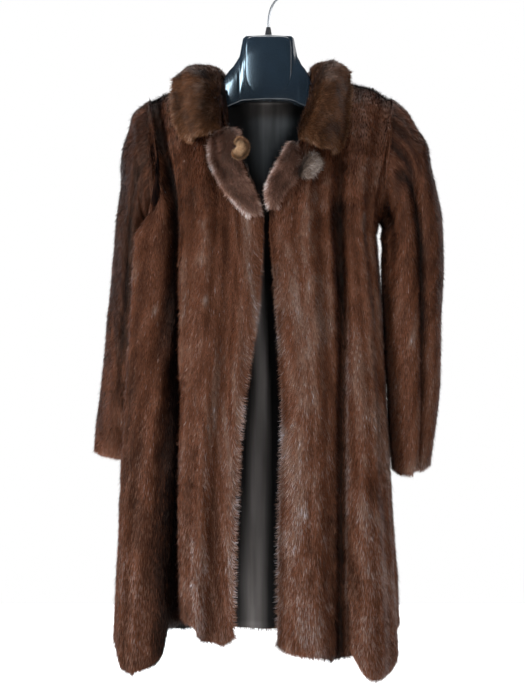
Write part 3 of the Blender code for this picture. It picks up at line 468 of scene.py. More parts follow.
def hollows(grid: Grid, normals: Grid, across: int, down: int) -> Grid:
    """How far each point lies behind the mean of its neighbours, in millimetres."""
    mean = grid
    for axis, reach in ((1, across), (0, down)):
        for _ in range(reach):
            turned = np.moveaxis(mean, axis, 0)
            padded = np.concatenate([2 * turned[:1] - turned[1:2], turned, 2 * turned[-1:] - turned[-2:-1]])
            mean = np.moveaxis((padded[:-2] + 2 * turned + padded[2:]) / 4, 0, axis)
    return ((mean - grid) * normals).sum(-1)


def rolled(distance: Grid, radius: float) -> Grid:
    """How far a rounded edge lies back at a distance from its end."""
    return radius - np.sqrt(np.maximum(radius**2 - (radius - np.clip(distance, 0, radius)) ** 2, 0))


def run_lengths(grid: Grid, axis: int) -> Grid:
    """How far along an axis of a grid each point lies, in millimetres."""
    steps = np.linalg.norm(np.diff(grid, axis=axis), axis=-1)
    start = np.zeros_like(np.take(steps, [0], axis=axis))
    return np.concatenate([start, np.cumsum(steps, axis=axis)], axis=axis)


# ---------------------------------------------------------------- meshes


def link_mesh(name: str, points: Grid, faces: Sequence[Sequence[int]], scale: float = MM) -> Object:
    """Makes a smooth mesh object that sits at the origin.

    Args:
        name: The object's name.
        points: Its vertices.
        faces: Its faces, by vertex number.
        scale: What turns the points into metres.

    Returns:
        The object, linked to the scene.
    """
    mesh = bpy.data.meshes.new(name)
    mesh.from_pydata((np.asarray(points) * scale).tolist(), [], [tuple(map(int, face)) for face in faces])
    mesh.validate()
    mesh.shade_smooth()
    thing = bpy.data.objects.new(name, mesh)
    bpy.context.scene.collection.objects.link(thing)
    return thing


def wall_mesh(name: str, outer: Grid, inner: Grid, closed: bool) -> Object:
    """Makes a closed thin shell between two grids, with a bake map that keeps its two sides apart.

    Args:
        name: The object's name.
        outer: The outer grid, rows by columns.
        inner: The inner grid, of the same size.
        closed: Whether the last column joins the first.

    Returns:
        The shell. Its inner faces have material number 1.
    """
    rows, columns = outer.shape[:2]
    count = rows * columns
    spans = columns if closed else columns - 1
    row, column = cells(rows - 1, spans)
    after = (column + 1) % columns
    a, b = row * columns + column, row * columns + after
    c, d = b + columns, a + columns
    faces = np.concatenate([np.stack([a, b, c, d], 1), np.stack([a, d, c, b], 1) + count])
    u, v = column / spans * 0.48 + 0.01, 1 - row / (rows - 1)
    u_after, v_after = (column + 1) / spans * 0.48 + 0.01, 1 - (row + 1) / (rows - 1)
    plain = np.stack([u, v, u_after, v, u_after, v_after, u, v_after], 1).reshape(-1, 4, 2)
    turned = plain[:, [0, 3, 2, 1]] + [0.5, 0.0]
    maps = [plain, turned]
    rims = []
    first = np.arange(spans)
    follow = (first + 1) % columns
    last = (rows - 1) * columns
    rims.append(np.stack([follow, first, first + count, follow + count], 1))
    rims.append(np.stack([first + last, follow + last, follow + last + count, first + last + count], 1))
    if not closed:
        down = np.arange(rows - 1) * columns
        rims.append(np.stack([down, down + columns, down + columns + count, down + count], 1))
        edge = down + columns - 1
        rims.append(np.stack([edge, edge + count, edge + columns + count, edge + columns], 1))
    rim = np.concatenate(rims)
    faces = np.concatenate([faces, rim])
    maps.append(np.tile([[0.495, 0.2], [0.505, 0.2], [0.505, 0.8], [0.495, 0.8]], (len(rim), 1, 1)))
    thing = link_mesh(name, np.concatenate([outer.reshape(-1, 3), inner.reshape(-1, 3)]), faces)
    layer = thing.data.uv_layers.new(name=UV_MAP)
    layer.data.foreach_set("uv", np.concatenate(maps).ravel())
    index = np.zeros(len(faces), np.int32)
    index[len(a) : 2 * len(a)] = 1
    thing.data.polygons.foreach_set("material_index", index)
    return thing


def paint_tone(thing: Object, tone: Grid) -> None:
    """Writes a skin's tone on both its walls, for its wool to read."""
    layer = thing.data.attributes.new(TONE, "FLOAT", "POINT")
    layer.data.foreach_set("value", np.tile(tone.astype(np.float32).ravel(), 2))


def dress(thing: Object, *materials: Material) -> None:
    """Puts materials in an object's slots, in order."""
    thing.data.materials.clear()
    for material in materials:
        thing.data.materials.append(material)


def place_piece(thing: Object, slot: str, *nodes: str) -> None:
    """Lets a piece ride on the coat and hides the CAD nodes that it stands for."""
    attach(thing, ROOT)
    if nodes:
        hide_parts(*nodes)
    LOG.info("%s: %d faces", thing.name, len(thing.data.polygons))


def place_fur(skin: Object, hairs: Sequence[Object], fur: Material, slot: str, *nodes: str) -> None:
    """Dresses a skin's hairs and places the skin and then its hairs."""
    for hair in hairs:
        dress(hair, fur)
    place_piece(skin, slot, *nodes)
    for hair in hairs:
        place_piece(hair, slot)


# ---------------------------------------------------------------- finishes


class NodeMaker:
    """Adds nodes to a tree and joins them."""

    def __init__(self, tree: NodeTree) -> None:
        """Keeps the tree."""
        self.tree = tree

    def put(self, socket: NodeSocket, value: object) -> None:
        """Joins a socket to an output, or sets its value."""
        if isinstance(value, NodeSocket):
            self.tree.links.new(value, socket)
        else:
            socket.default_value = value

    def feed(self, node: Node, **inputs: object) -> None:
        """Fills a node's sockets by name, with spaces written as underscores."""
        for key, value in inputs.items():
            self.put(node.inputs[key.replace("_", " ")], value)

    def add(self, kind: str, **inputs: object) -> Node:
        """Adds a node and fills its sockets."""
        node = self.tree.nodes.new(f"ShaderNode{kind}")
        self.feed(node, **inputs)
        return node

    def ramp(self, by: NodeSocket, stops: Stops) -> NodeSocket:
        """Adds a colour ramp with these stops and returns its colour."""
        node = self.add("ValToRGB", Fac=by)
        elements = node.color_ramp.elements
        while len(elements) > 1:
            elements.remove(elements[-1])
        elements[0].position, elements[0].color = stops[0][0], (*stops[0][1], 1.0)
        for position, colour in stops[1:]:
            elements.new(position).color = (*colour, 1.0)
        return node.outputs["Color"]

    def multiply(self, first: NodeSocket, second: NodeSocket) -> NodeSocket:
        """Multiplies two colours."""
        mix = self.add("Mix")
        mix.data_type, mix.blend_type = "RGBA", "MULTIPLY"
        self.feed(mix, Factor=1.0, A=first, B=second)
        return mix.outputs["Result"]

    def reckon(self, operation: str, *values: float | NodeSocket) -> NodeSocket:
        """Adds a sum with numbers or outputs and returns its result."""
        node = self.add("Math")
        node.operation = operation
        for socket, value in zip(node.inputs, values):
            self.put(socket, value)
        return node.outputs["Value"]

    def noise(self, scale: float, detail: float, roughness: float = 0.5, grain: float = 1.0) -> NodeSocket:
        """Adds noise in the object's own space.

        Args:
            scale: How fine it is.
            detail: How many finer layers it has.
            roughness: How strong those layers are.
            grain: Its scale along Z, where 1 is the same as across: the smaller, the longer its streaks.

        Returns:
            The noise, from 0 to 1.
        """
        place = self.add("TexCoord").outputs["Object"]
        if grain != 1.0:
            place = self.add("Mapping", Vector=place, Scale=(1.0, 1.0, grain)).outputs["Vector"]
        node = self.add("TexNoise", Vector=place, Scale=scale, Detail=detail, Roughness=roughness)
        return node.outputs["Fac"]

    def bump(self, height: NodeSocket, strength: float, distance: float) -> NodeSocket:
        """Adds a bump of a height in metres and returns its normal."""
        return self.add("Bump", Height=height, Strength=strength, Distance=distance).outputs["Normal"]

    def tone(self) -> NodeSocket:
        """Reads the tone that paint_tone writes on a skin."""
        node = self.add("Attribute")
        node.attribute_name = TONE
        return node.outputs["Fac"]


class Paint(NodeMaker):
    """A material in the making."""

    def __init__(self, name: str) -> None:
        """Starts an empty material."""
        self.material = bpy.data.materials.new(name)
        self.material.use_nodes = True
        super().__init__(self.material.node_tree)

    def finish(self, **inputs: object) -> Material:
        """Fills the shader's sockets and returns the material."""
        self.feed(self.tree.nodes["Principled BSDF"], **inputs)
        return self.material


@dataclass(frozen=True)
class PileFinish:
    """Hair whose bake map holds its tone across and its way from root to tip up."""

    name: str
    stops: Stops
    root_shade: float = 0.30
    roughness: float = 0.42
    gloss: float = 0.15
    gloss_tint: Triple = (0.95, 0.66, 0.52)
    sheen: float = 0.02
    sheen_roughness: float = 0.35
    sheen_tint: Triple = (0.80, 0.86, 1.0)

    def material(self) -> Material:
        """Builds the material."""
        paint = Paint(self.name)
        uv = paint.add("UVMap")
        uv.uv_map = UV_MAP
        parts = paint.add("SeparateXYZ", Vector=uv.outputs["UV"])
        tone = paint.ramp(parts.outputs["X"], self.stops)
        depth = ((0.0, (self.root_shade,) * 3), (0.75, (1.0,) * 3), (1.0, (1.08,) * 3))
        return paint.finish(
            Base_Color=paint.multiply(tone, paint.ramp(parts.outputs["Y"], depth)),
            Roughness=self.roughness,
            Specular_IOR_Level=self.gloss,
            Specular_Tint=(*self.gloss_tint, 1.0),
            Sheen_Weight=self.sheen,
            Sheen_Roughness=self.sheen_roughness,
            Sheen_Tint=(*self.sheen_tint, 1.0),
        )


@dataclass(frozen=True)
class UnderfurFinish:
    """The skin under the pile: dense short wool of the pile's own tone, streaked the way the hair lies."""

    name: str
    stops: Stops
    shade: float = 0.55
    streak: float = 0.30
    roughness: float = 0.9
    gloss: float = 0.03

    def material(self) -> Material:
        """Builds the material."""
        paint = Paint(self.name)
        streaks = paint.noise(420.0, 4.0, 0.6, grain=0.14)
        spread = paint.reckon("MULTIPLY_ADD", streaks, self.streak, paint.tone())
        centred = paint.reckon("SUBTRACT", spread, self.streak / 2)
        dim = tuple((at, tuple(part * self.shade for part in colour)) for at, colour in self.stops)
        return paint.finish(
            Base_Color=paint.ramp(centred, dim),
            Normal=paint.bump(streaks, 0.5, 0.001),
            Roughness=self.roughness,
            Specular_IOR_Level=self.gloss,
        )


@dataclass(frozen=True)
class SatinFinish:
    """Woven satin with a fine cross rib, streaked down its length between its shadow and face colours as
    painted crease shade. Where it is shaded, its tone attribute darkens it.
    """

    name: str = "taupe_satin"
    # Painted shade: by default the taupe satin is painted nearly black, for the skins' inner walls inside the
    # coat.
    shadow: Triple = (0.012, 0.009, 0.008)
    face: Triple = (0.030, 0.025, 0.024)
    shaded: bool = False
    roughness: float = 0.55
    gloss: float = 0.06

    def material(self) -> Material:
        """Builds the material."""
        paint = Paint(self.name)
        # Painted crease shade: long streaks down the satin, between the shadow and face colours.
        colour = paint.ramp(paint.noise(38.0, 3.0, grain=0.06), ((0.3, self.shadow), (0.7, self.face)))
        if self.shaded:
            depth = ((0.0, (0.01,) * 3), (0.45, (0.34,) * 3), (1.0, (1.0,) * 3))
            colour = paint.multiply(colour, paint.ramp(paint.tone(), depth))
        return paint.finish(
            Base_Color=colour,
            Normal=paint.bump(paint.noise(900.0, 2.0, grain=0.25), 0.25, 0.0004),
            Roughness=self.roughness,
            Specular_IOR_Level=self.gloss,
        )


@dataclass(frozen=True)
class PlasticFinish:
    """Moulded plastic with a faint flow mottle."""

    name: str
    colour: Triple
    roughness: float
    coat: float = 0.0
    coat_roughness: float = 0.06
    mottle_shade: float = 0.75

    def material(self) -> Material:
        """Builds the material."""
        paint = Paint(self.name)
        mottle = paint.noise(35.0, 5.0, 0.65)
        dim = tuple(part * self.mottle_shade for part in self.colour)
        return paint.finish(
            Base_Color=paint.ramp(mottle, ((0.35, dim), (0.7, self.colour))),
            Normal=paint.bump(mottle, 0.08, 0.0005),
            Roughness=self.roughness,
            Coat_Weight=self.coat,
            Coat_Roughness=self.coat_roughness,
        )


@dataclass(frozen=True)
class WireFinish:
    """Drawn steel wire with fine lines along it."""

    name: str = "drawn_wire"
    dim: Triple = (0.30, 0.31, 0.33)
    bright: Triple = (0.46, 0.47, 0.49)
    roughness: float = 0.28

    def material(self) -> Material:
        """Builds the material."""
        paint = Paint(self.name)
        grain = paint.ramp(paint.noise(600.0, 2.0), ((0.3, self.dim), (0.7, self.bright)))
        return paint.finish(Base_Color=grain, Metallic=1.0, Roughness=self.roughness)


BROWN_STOPS = (
    (0.0, (0.003, 0.0015, 0.0015)), (0.25, (0.040, 0.013, 0.006)), (0.46, (0.130, 0.044, 0.021)),
    (0.60, (0.188, 0.102, 0.070)), (0.78, (0.340, 0.260, 0.240)), (1.0, (0.640, 0.630, 0.690)),
)
COLLAR_STOPS = (
    (0.0, (0.004, 0.002, 0.001)), (0.30, (0.030, 0.011, 0.004)), (0.55, (0.090, 0.034, 0.013)),
    (0.78, (0.200, 0.100, 0.055)), (1.0, (0.460, 0.360, 0.310)),
)
FACING_STOPS = (
    (0.0, (0.020, 0.009, 0.006)), (0.35, (0.115, 0.050, 0.032)), (0.60, (0.240, 0.130, 0.094)),
    (0.80, (0.430, 0.320, 0.280)), (1.0, (0.700, 0.640, 0.620)),
)
BUTTON_STOPS = (
    (0.0, (0.060, 0.030, 0.015)), (0.40, (0.260, 0.140, 0.070)), (0.70, (0.480, 0.300, 0.170)),
    (1.0, (0.700, 0.540, 0.400)),
)
TAB_STOPS = (
    (0.0, (0.030, 0.018, 0.012)), (0.40, (0.130, 0.085, 0.062)), (0.70, (0.340, 0.270, 0.230)),
    (1.0, (0.620, 0.550, 0.500)),
)


# ---------------------------------------------------------------- pile


@dataclass
class Bed:
    """The skin that hair grows from, as grids of the same size.

    flow is the way the hair lies, across and down are distances in millimetres, tone runs from 0 (dark) to
    1 (silver), and weight and length are shares of the pile's usual. Where shading is given, the hairs catch
    the light by it and still stand on the skin's own normals. silver is the share of hairs with a silver tip.
    """

    points: Grid
    normals: Grid
    flow: Grid
    across: Grid
    down: Grid
    tone: Grid
    weight: Grid
    length: Grid
    shading: Grid | None = None
    silver: Grid | None = None


@dataclass(frozen=True)
class Pile:
    """A covering of separate hairs, each one slim face."""

    name: str
    count: int
    length: float = 8.6
    width: float = 0.8
    lean: float = 18.0
    lean_spread: float = 8.0
    splay: float = 5.0
    tone_grain: float = 0.03
    seed: int = 1
    clump: tuple[float, float] = (6.0, 30.0)
    normal_spread: float = 0.20
    guard_share: float = 0.07
    ruffle: float = 0.30
    overlap: float = 0.0
    swirl: tuple[float, float] = (34.0, 60.0)
    clump_lean: float = 3.0
    guard_lean: float = 14.0
    clump_tone: float = 0.03
    guard_tone: float = 0.05
    silver_tone: float = 0.24
    silver_share: float = 0.03
    own_splay: float = 0.6
    clump_splay: float = 0.5
    swirl_splay: float = 0.8
    overlap_reach: float = 7.0
    overlap_rise: float = 0.25
    lift_range: tuple[float, float] = (3.0, 75.0)
    shortest: float = 0.78
    length_spread: float = 0.38
    guard_length: float = 0.28
    thinnest: float = 0.65
    width_spread: float = 0.7
    twist: float = 0.5
    face_share: float = 0.5
    least: int = 200
    quick_share: int = 6

    def grow(self, bed: Bed) -> Object:
        """Grows the hairs on a bed.

        Args:
            bed: The skin.

        Returns:
            One mesh of all the hairs.
        """
        rng = np.random.default_rng(self.seed)
        count = max(self.least, self.count // (1))
        columns = bed.points.shape[1]
        corner_a, corner_b = bed.points[:-1, :-1], bed.points[:-1, 1:]
        corner_c, corner_d = bed.points[1:, 1:], bed.points[1:, :-1]
        area = np.linalg.norm(np.cross(corner_c - corner_a, corner_d - corner_b), axis=-1) / 2
        running = np.cumsum((area * bed.weight[:-1, :-1]).ravel())
        picks = (np.arange(count) + rng.random(count)) / count * running[-1]
        cell = np.minimum(np.searchsorted(running, picks), len(running) - 1)
        row, column = cell // (columns - 1), cell % (columns - 1)
        u, v = rng.random(count), rng.random(count)

        def read(grid: Grid) -> Grid:
            """Reads a grid at the roots."""
            shape = (-1,) + (1,) * (grid.ndim - 2)
            a, b = u.reshape(shape), v.reshape(shape)
            top = grid[row, column] * (1 - a) + grid[row, column + 1] * a
            low = grid[row + 1, column] * (1 - a) + grid[row + 1, column + 1] * a
            return top * (1 - b) + low * b

        root, normal = read(bed.points), unit(read(bed.normals))
        flow = read(bed.flow)
        flow = unit(flow - normal * (flow * normal).sum(1, keepdims=True))
        across, down = read(bed.across), read(bed.down)
        back = self.overlap * np.exp(-down / self.overlap_reach) * rng.random(count)
        root = root - flow * back[:, None] + normal * (self.overlap_rise * back)[:, None]
        side = np.cross(normal, flow)
        clump = noise(across / self.clump[0], down / self.clump[1], self.seed + 11)
        swirl = noise(across / self.swirl[0], down / self.swirl[1], self.seed + 5)
        splay = self.own_splay * rng.standard_normal(count) + self.clump_splay * clump
        splay += self.swirl_splay * swirl
        angle = np.radians(self.splay * splay)[:, None]
        heading = flow * np.cos(angle) + side * np.sin(angle)
        guard = rng.random(count) < self.guard_share
        silver = rng.random(count) < (self.silver_share if bed.silver is None else read(bed.silver))
        lift = self.lean + self.lean_spread * rng.standard_normal(count) + self.clump_lean * clump
        lift += self.guard_lean * guard
        lift = np.radians(np.clip(lift, *self.lift_range))[:, None]
        heading = heading * np.cos(lift) + normal * np.sin(lift)
        share = self.shortest + self.length_spread * rng.random(count) + self.guard_length * guard
        length = self.length * share * read(bed.length)
        tip = root + heading * length[:, None]
        twist = rng.normal(0, self.twist, count)[:, None]
        blade = unit(np.cross(normal, heading))
        blade = blade * np.cos(twist) + np.cross(heading, blade) * np.sin(twist)
        half = blade * (self.width * (self.thinnest + self.width_spread * rng.random(count)) / 2)[:, None]
        points = np.stack([root + half, root - half, tip], 1)
        face_normal = unit(np.cross(-half, tip - root))
        face_normal *= np.sign((face_normal * normal).sum(1, keepdims=True) + 1e-9)
        turn = noise(across / 26, down / 40, self.seed + 17)[:, None]
        nod = noise(across / 30, down / 24, self.seed + 19)[:, None]
        ruffle = self.ruffle * (side * turn + flow * nod)
        shown = normal if bed.shading is None else unit(read(bed.shading))
        loose = self.normal_spread * rng.standard_normal((count, 3))
        shine = unit(shown + ruffle + loose + self.face_share * face_normal)
        tone = read(bed.tone) + self.tone_grain * rng.standard_normal(count)
        tone += self.clump_tone * clump + self.guard_tone * guard + self.silver_tone * silver
        tone = np.clip(tone, 0.02, 0.98)
        return self.link(points, shine, tone)

    def link(self, points: Grid, shine: Grid, tone: Grid) -> Object:
        """Makes the mesh of hairs.

        Args:
            points: Three corners for each hair: two at the root and the tip.
            shine: One normal for each hair.
            tone: One tone for each hair.

        Returns:
            The linked object.
        """
        count = len(points)
        mesh = bpy.data.meshes.new(self.name)
        mesh.vertices.add(3 * count)
        mesh.vertices.foreach_set("co", (points * MM).astype(np.float32).ravel())
        mesh.loops.add(3 * count)
        mesh.loops.foreach_set("vertex_index", np.arange(3 * count, dtype=np.int32))
        mesh.polygons.add(count)
        mesh.polygons.foreach_set("loop_start", np.arange(0, 3 * count, 3, dtype=np.int32))
        mesh.update(calc_edges=True)
        layer = mesh.uv_layers.new(name=UV_MAP)
        u = 0.01 + 0.98 * tone
        uv = np.stack([u - 0.008, 0 * u + 0.01, u + 0.008, 0 * u + 0.01, u, 0 * u + 0.99], 1)
        layer.data.foreach_set("uv", np.clip(uv, 0.002, 0.998).ravel())
        mesh.polygons.foreach_set("use_smooth", np.ones(count, bool))
        mesh.normals_split_custom_set_from_vertices(np.repeat(shine, 3, 0).tolist())
        thing = bpy.data.objects.new(self.name, mesh)
        bpy.context.scene.collection.objects.link(thing)
        return thing


def hair_spots(across: Grid, down: Grid, spots: Sequence[Triple]) -> Grid:
    """How much a few parted places show, from 0 to 1: each spot has its place and its size."""
    shown = np.zeros_like(across)
    for x, y, size in spots:
        shown = np.maximum(shown, np.exp(-(((across - x) / size) ** 2) - ((down - y) / (1.6 * size)) ** 2))
    return shown


# ---------------------------------------------------------------- the body


@dataclass(frozen=True)
class BodyTones:
    """How far each cause moves the tone of the body's pile, and the share of hairs it tips with silver.

    The darkening in the hollows, in the folds' valleys, at the neckline and on the skin under the yoke is
    painted shade, the lightening on the crests is a painted highlight, and the bands down the folds' lit
    flanks and the paler, more silver-tipped pile lower down are painted sheen. The last seven are the
    millimetres over which a cause grows or fades.
    """

    plain: float = 0.46
    strip: float = 0.03
    height: float = 0.05
    groove: float = 0.06
    hollow: float = 0.30
    crest: float = 0.07
    valley_shade: float = 0.50
    high_valley: float = 0.22
    edge: float = 0.20
    neck: float = 0.30
    seam: float = 0.10
    left_side: float = 0.08
    low: float = 0.06
    yoke_skin_shade: float = 0.30
    parting: float = 0.22
    painted_sheen: float = 0.40
    silver: float = 0.01
    silver_height: float = 0.05
    silver_low: float = 0.17
    silver_edge: float = 0.10
    hollow_depth: float = 12.0
    crest_height: float = 7.0
    valley_starts: float = 260.0
    valley_grows: float = 120.0
    neck_reach: float = 14.0
    seam_reach: float = 40.0
    painted_sheen_grows: float = 160.0


@dataclass
class BodyForm:
    """The coat's body as a fine surface, from the left front edge round to the right front edge."""

    yoke_rows: int = 24
    skirt_rows: int = 45
    front_columns: int = 92
    back_columns: int = 84
    armhole_rows: int = 12
    skin_depth: float = 3.6
    skin_wall: float = 5.8
    hem_roll: float = 6.0
    relief_gloss: float = 2.6
    strip: float = 38.0
    groove_width: float = 0.10
    edge_in: float = 3.0
    fuzz: float = 9.0
    yoke_fade: int = 14
    fold_reach: float = 34.0
    coat_top: float = 180.0
    coat_length: float = 950.0
    edge_starts: float = 60.0
    edge_grows: float = 120.0
    hem_reach: float = 6.0
    spots: int = 54
    tones: BodyTones = BodyTones()
    points: Grid = field(init=False)
    normals: Grid = field(init=False)

    def __post_init__(self) -> None:
        """Works the surface out."""
        turns = (1 - np.cos(np.linspace(0, math.pi, 400))) * math.pi / 4
        wide = np.clip(np.sin(turns), 0, 1) ** ROUNDING
        deep = SLIMNESS * np.clip(np.cos(turns), 0, 1) ** ROUNDING
        reached = np.concatenate([[0], np.cumsum(np.hypot(np.diff(wide), np.diff(deep)))])
        self.turns, self.shares = turns, reached / reached[-1]
        self.points, self.normals = self.surface()

    def ring(self, place: Grid, level: Grid) -> Grid:
        """Points of the plain ring, without its folds."""
        place, level = np.broadcast_arrays(np.asarray(place, float), np.asarray(level, float))
        reach = {way: table_curve(BODY, "level", way, level) for way in ("left", "right", "front", "back")}
        width = np.where(place < 0, reach["left"], reach["right"])
        share = np.abs(place)
        angle = np.interp(np.where(share <= 1, share, 2 - share), self.shares, self.turns)
        across = width * np.sign(place) * np.clip(np.sin(angle), 0, 1) ** ROUNDING
        along = np.clip(np.cos(angle), 0, 1) ** ROUNDING
        depth = np.where(share <= 1, -reach["front"], reach["back"]) * along
        return np.stack([across, depth, level], axis=-1)

    def edge_place(self, side: Side, level: float | Grid) -> Grid:
        """The place where a front edge hangs at a level."""
        name = side.name.lower()
        edge = table_curve(BODY, "level", f"{name}_edge", level)
        width = table_curve(BODY, "level", name, level)
        angle = np.arcsin(np.clip(np.abs(edge) / width, 0, 1) ** (1 / ROUNDING))
        return side.value * np.interp(angle, self.turns, self.shares)

    def push(self, folds: Sequence[Fold], place: Grid, level: Grid, share: Grid) -> Grid:
        """How far folds push the surface out."""
        drop = np.clip((YOKE_LEVEL - level) / (YOKE_LEVEL - BODY[-1].level), 0, 1)
        total = np.zeros(np.broadcast(place, level).shape)
        for fold in folds:
            middle = fold.place + (fold.hem_place - fold.place) * drop
            width = fold.width + (fold.hem_width - fold.width) * drop
            depth = fold.depth + (fold.hem_depth - fold.depth) * drop
            depth = depth * (fold.start + (1 - fold.start) * ease(share))
            total = total + depth * np.exp(-(((place - middle) / width) ** 2))
        return total

    def armhole_point(self, hole: Armhole, angle: float) -> Grid:
        """A point of the armhole's oval: 0 degrees at the shoulder tip, 180 at the underarm."""
        tip, low = np.array(hole.tip, float), np.array(hole.underarm, float)
        turn = math.radians(angle)
        return (tip + low) / 2 + math.cos(turn) * (tip - low) / 2 + [0, math.sin(turn) * ARM_DEPTH, 0]

    def armhole_normal(self, hole: Armhole, angle: float) -> Grid:
        """The direction away from the armhole's middle, in its own plane."""
        step = self.armhole_point(hole, angle + 1) - self.armhole_point(hole, angle - 1)
        tip, low = np.array(hole.tip, float), np.array(hole.underarm, float)
        plane = unit(np.cross(tip - low, [0, 1, 0]))
        normal = unit(np.cross(step, plane))
        away = self.armhole_point(hole, angle) - (tip + low) / 2
        return normal if np.dot(normal, away) > 0 else -normal

    def top_edge(self, place: float) -> tuple[Grid, Grid, Grid | None]:
        """The yoke's top edge at a place.

        Args:
            place: The place round the body.

        Returns:
            The point, the way the cloth leaves it, and the wall's normal where it is an armhole.
        """
        side = Side.LEFT if place < 0 else Side.RIGHT
        hole = ARMHOLES[side]
        share, front = abs(place), abs(place) <= 1
        forward = -1 if front else 1
        neck_point, tip_point = np.array(hole.neck, float), np.array(hole.tip, float)
        if front:
            start = abs(float(self.edge_place(side, YOKE_LEVEL)))
            neck, tip, at = NECK_PLACE, TIP_PLACE, share
        else:
            start, neck, tip, at = 0.0, BACK_NECK_PLACE, BACK_TIP_PLACE, 2 - share
        normal = None
        if at <= neck:
            along = (at - start) / (neck - start)
            if front:
                edge = table_curve(BODY, "level", f"{side.name.lower()}_edge", YOKE_LEVEL)
                line = [np.array((edge, -BODY[0].front - 4, hole.break_level), float)]
                line += [np.array(part, float) for part in hole.neck_controls] + [neck_point]
                rest = 1 - along
                weights = (rest**3, 3 * along * rest**2, 3 * along**2 * rest, along**3)
                point, turn = sum(w * p for w, p in zip(weights, line)), 90 * (1 - ease(along))
            else:
                swing = along * math.pi / 2
                middle = np.array(BACK_NECK)
                bow = np.array([math.sin(swing), 1 - math.cos(swing), 1 - math.cos(swing)])
                point, turn = middle + (neck_point - middle) * bow, 70 * (1 - ease(along))
        elif at < tip:
            along = (at - neck) / (tip - neck)
            point = neck_point + (tip_point - neck_point) * along
            point = point + np.array([0, 0, hole.shoulder_bow * math.sin(math.pi * along)])
            turn = 0.0
        else:
            angle = 180 * (at - tip) / (1 - tip)
            point, turn = self.armhole_point(hole, angle * forward), 90 * ease(angle / 80)
            normal = self.armhole_normal(hole, angle * forward)
        turn = math.radians(float(turn))
        lean = -side.value * 0.3 * math.sin(turn) if normal is not None else 0.0
        return point, unit(np.array([lean, forward * math.cos(turn), -math.sin(turn)])), normal

    def hung_places(self, places: Grid, starts: dict[Side, float], level: float | Grid) -> Grid:
        """The columns' places at a level, drawn together as the front edges hang apart."""
        moved = places.copy()
        for side, start in starts.items():
            front = (np.abs(places) <= 1) & (np.sign(places) == side.value)
            along = (np.abs(places) - start) / (1 - start)
            edge = np.abs(self.edge_place(side, level))
            moved = np.where(front, side.value * (edge + (1 - edge) * along), moved)
        return moved

    def inside_armholes(self, grid: Grid, depth: float) -> Grid:
        """A layer of the body kept inside the armholes' planes, but for in front of and below the sleeves."""
        kept = grid.copy()
        for side, hole in ARMHOLES.items():
            (tip_x, _, tip_z), (low_x, _, low_z) = hole.tip, hole.underarm
            x, y, z = grid[1:, :, 0], grid[1:, :, 1], grid[1:, :, 2]
            plane = tip_x + (low_x - tip_x) * (tip_z - z) / (tip_z - low_z)
            free = 1.2 * np.maximum(0, -y - ARM_DEPTH) + np.maximum(0, low_z - z) - 0.3 - depth
            beyond = side.value * (x - plane)
            kept[1:, :, 0] = np.where(beyond > free, plane + side.value * free, kept[1:, :, 0])
        return kept

    def surface(self) -> tuple[Grid, Grid]:
        """The outer surface at the pile's reach, and its normals."""
        starts = {side: abs(float(self.edge_place(side, YOKE_LEVEL))) for side in Side}
        shares = np.linspace(0, 1, self.front_columns + 1)
        back = np.linspace(-1, -3, self.back_columns + 1)[1:-1]
        back = np.where(back < -2, back + 4, back)
        left, right = starts[Side.LEFT], starts[Side.RIGHT]
        places = np.concatenate([-(left + (1 - left) * shares), back, (right + (1 - right) * shares)[::-1]])
        tops = [self.top_edge(place) for place in places]
        start, leave = (np.array([top[part] for top in tops]) for part in (0, 1))
        end = self.ring(places, YOKE_LEVEL)
        arrive = unit(self.ring(places, YOKE_LEVEL - 10) - end)
        reach = np.linalg.norm(end - start, axis=1, keepdims=True)
        yoke_shares = np.linspace(0, 1, self.yoke_rows + 1)
        yoke = cubic(
            start[None], (leave * reach * 0.62)[None], end[None], (arrive * reach * 0.8)[None],
            yoke_shares[:, None, None],
        )
        hem = table_curve(HEM, "place", "level", self.hung_places(places, starts, BODY[-1].level))
        levels = [np.full(len(places), YOKE_LEVEL)] * (self.yoke_rows + 1)
        moved = [places] * (self.yoke_rows + 1)
        skirt = []
        for share in np.linspace(0, 1, self.skirt_rows + 1)[1:]:
            level = YOKE_LEVEL + (hem - YOKE_LEVEL) * share
            place = self.hung_places(places, starts, level)
            moved.append(place)
            levels.append(level)
            skirt.append(self.ring(place, level))
        base = np.concatenate([yoke, skirt])
        self.places, self.levels = np.array(moved), np.array(levels)
        full = np.ones((self.skirt_rows, len(places)))
        share_grid = np.concatenate([np.tile(yoke_shares[:, None], (1, len(places))), full])
        push = self.push(FOLDS, self.places, self.levels, share_grid)
        push[0] = 0
        holes = np.array([top[2] is not None for top in tops])
        push[: self.yoke_rows + 1, holes] *= yoke_shares[:, None] ** 2
        plain = surface_normals(base)
        outer = self.inside_armholes(base + plain * push[..., None], 0)
        self.across = run_lengths(outer, 1)
        self.down = run_lengths(outer, 0)
        relief = self.relief(share_grid)
        relief[0] = 0
        relief[: self.yoke_rows + 1, holes] *= yoke_shares[:, None] ** 2
        plain = surface_normals(outer)
        smooth = outer
        outer = outer + plain * relief[..., None]
        normals = surface_normals(outer)
        self.shading = surface_normals(smooth + plain * (self.relief_gloss * relief)[..., None])
        self.hollow = hollows(outer, normals, 9, 3)
        # Painted shade: how deep each point lies in a fold's valley, to paint the pile darker there.
        self.valley_shade = np.clip(-push / self.fold_reach, 0, 1)
        normals[0] = unit(np.cross(np.gradient(outer[0], axis=0), leave))
        for column in np.nonzero(holes)[0]:
            seam = tops[column][2]
            turned = normals[self.armhole_rows, column]
            for row in range(self.armhole_rows):
                share = row / self.armhole_rows
                normals[row, column] = unit(seam * (1 - share) + turned * share)
                self.shading[row, column] = normals[row, column]
        self.shading[0] = normals[0]
        return outer, normals

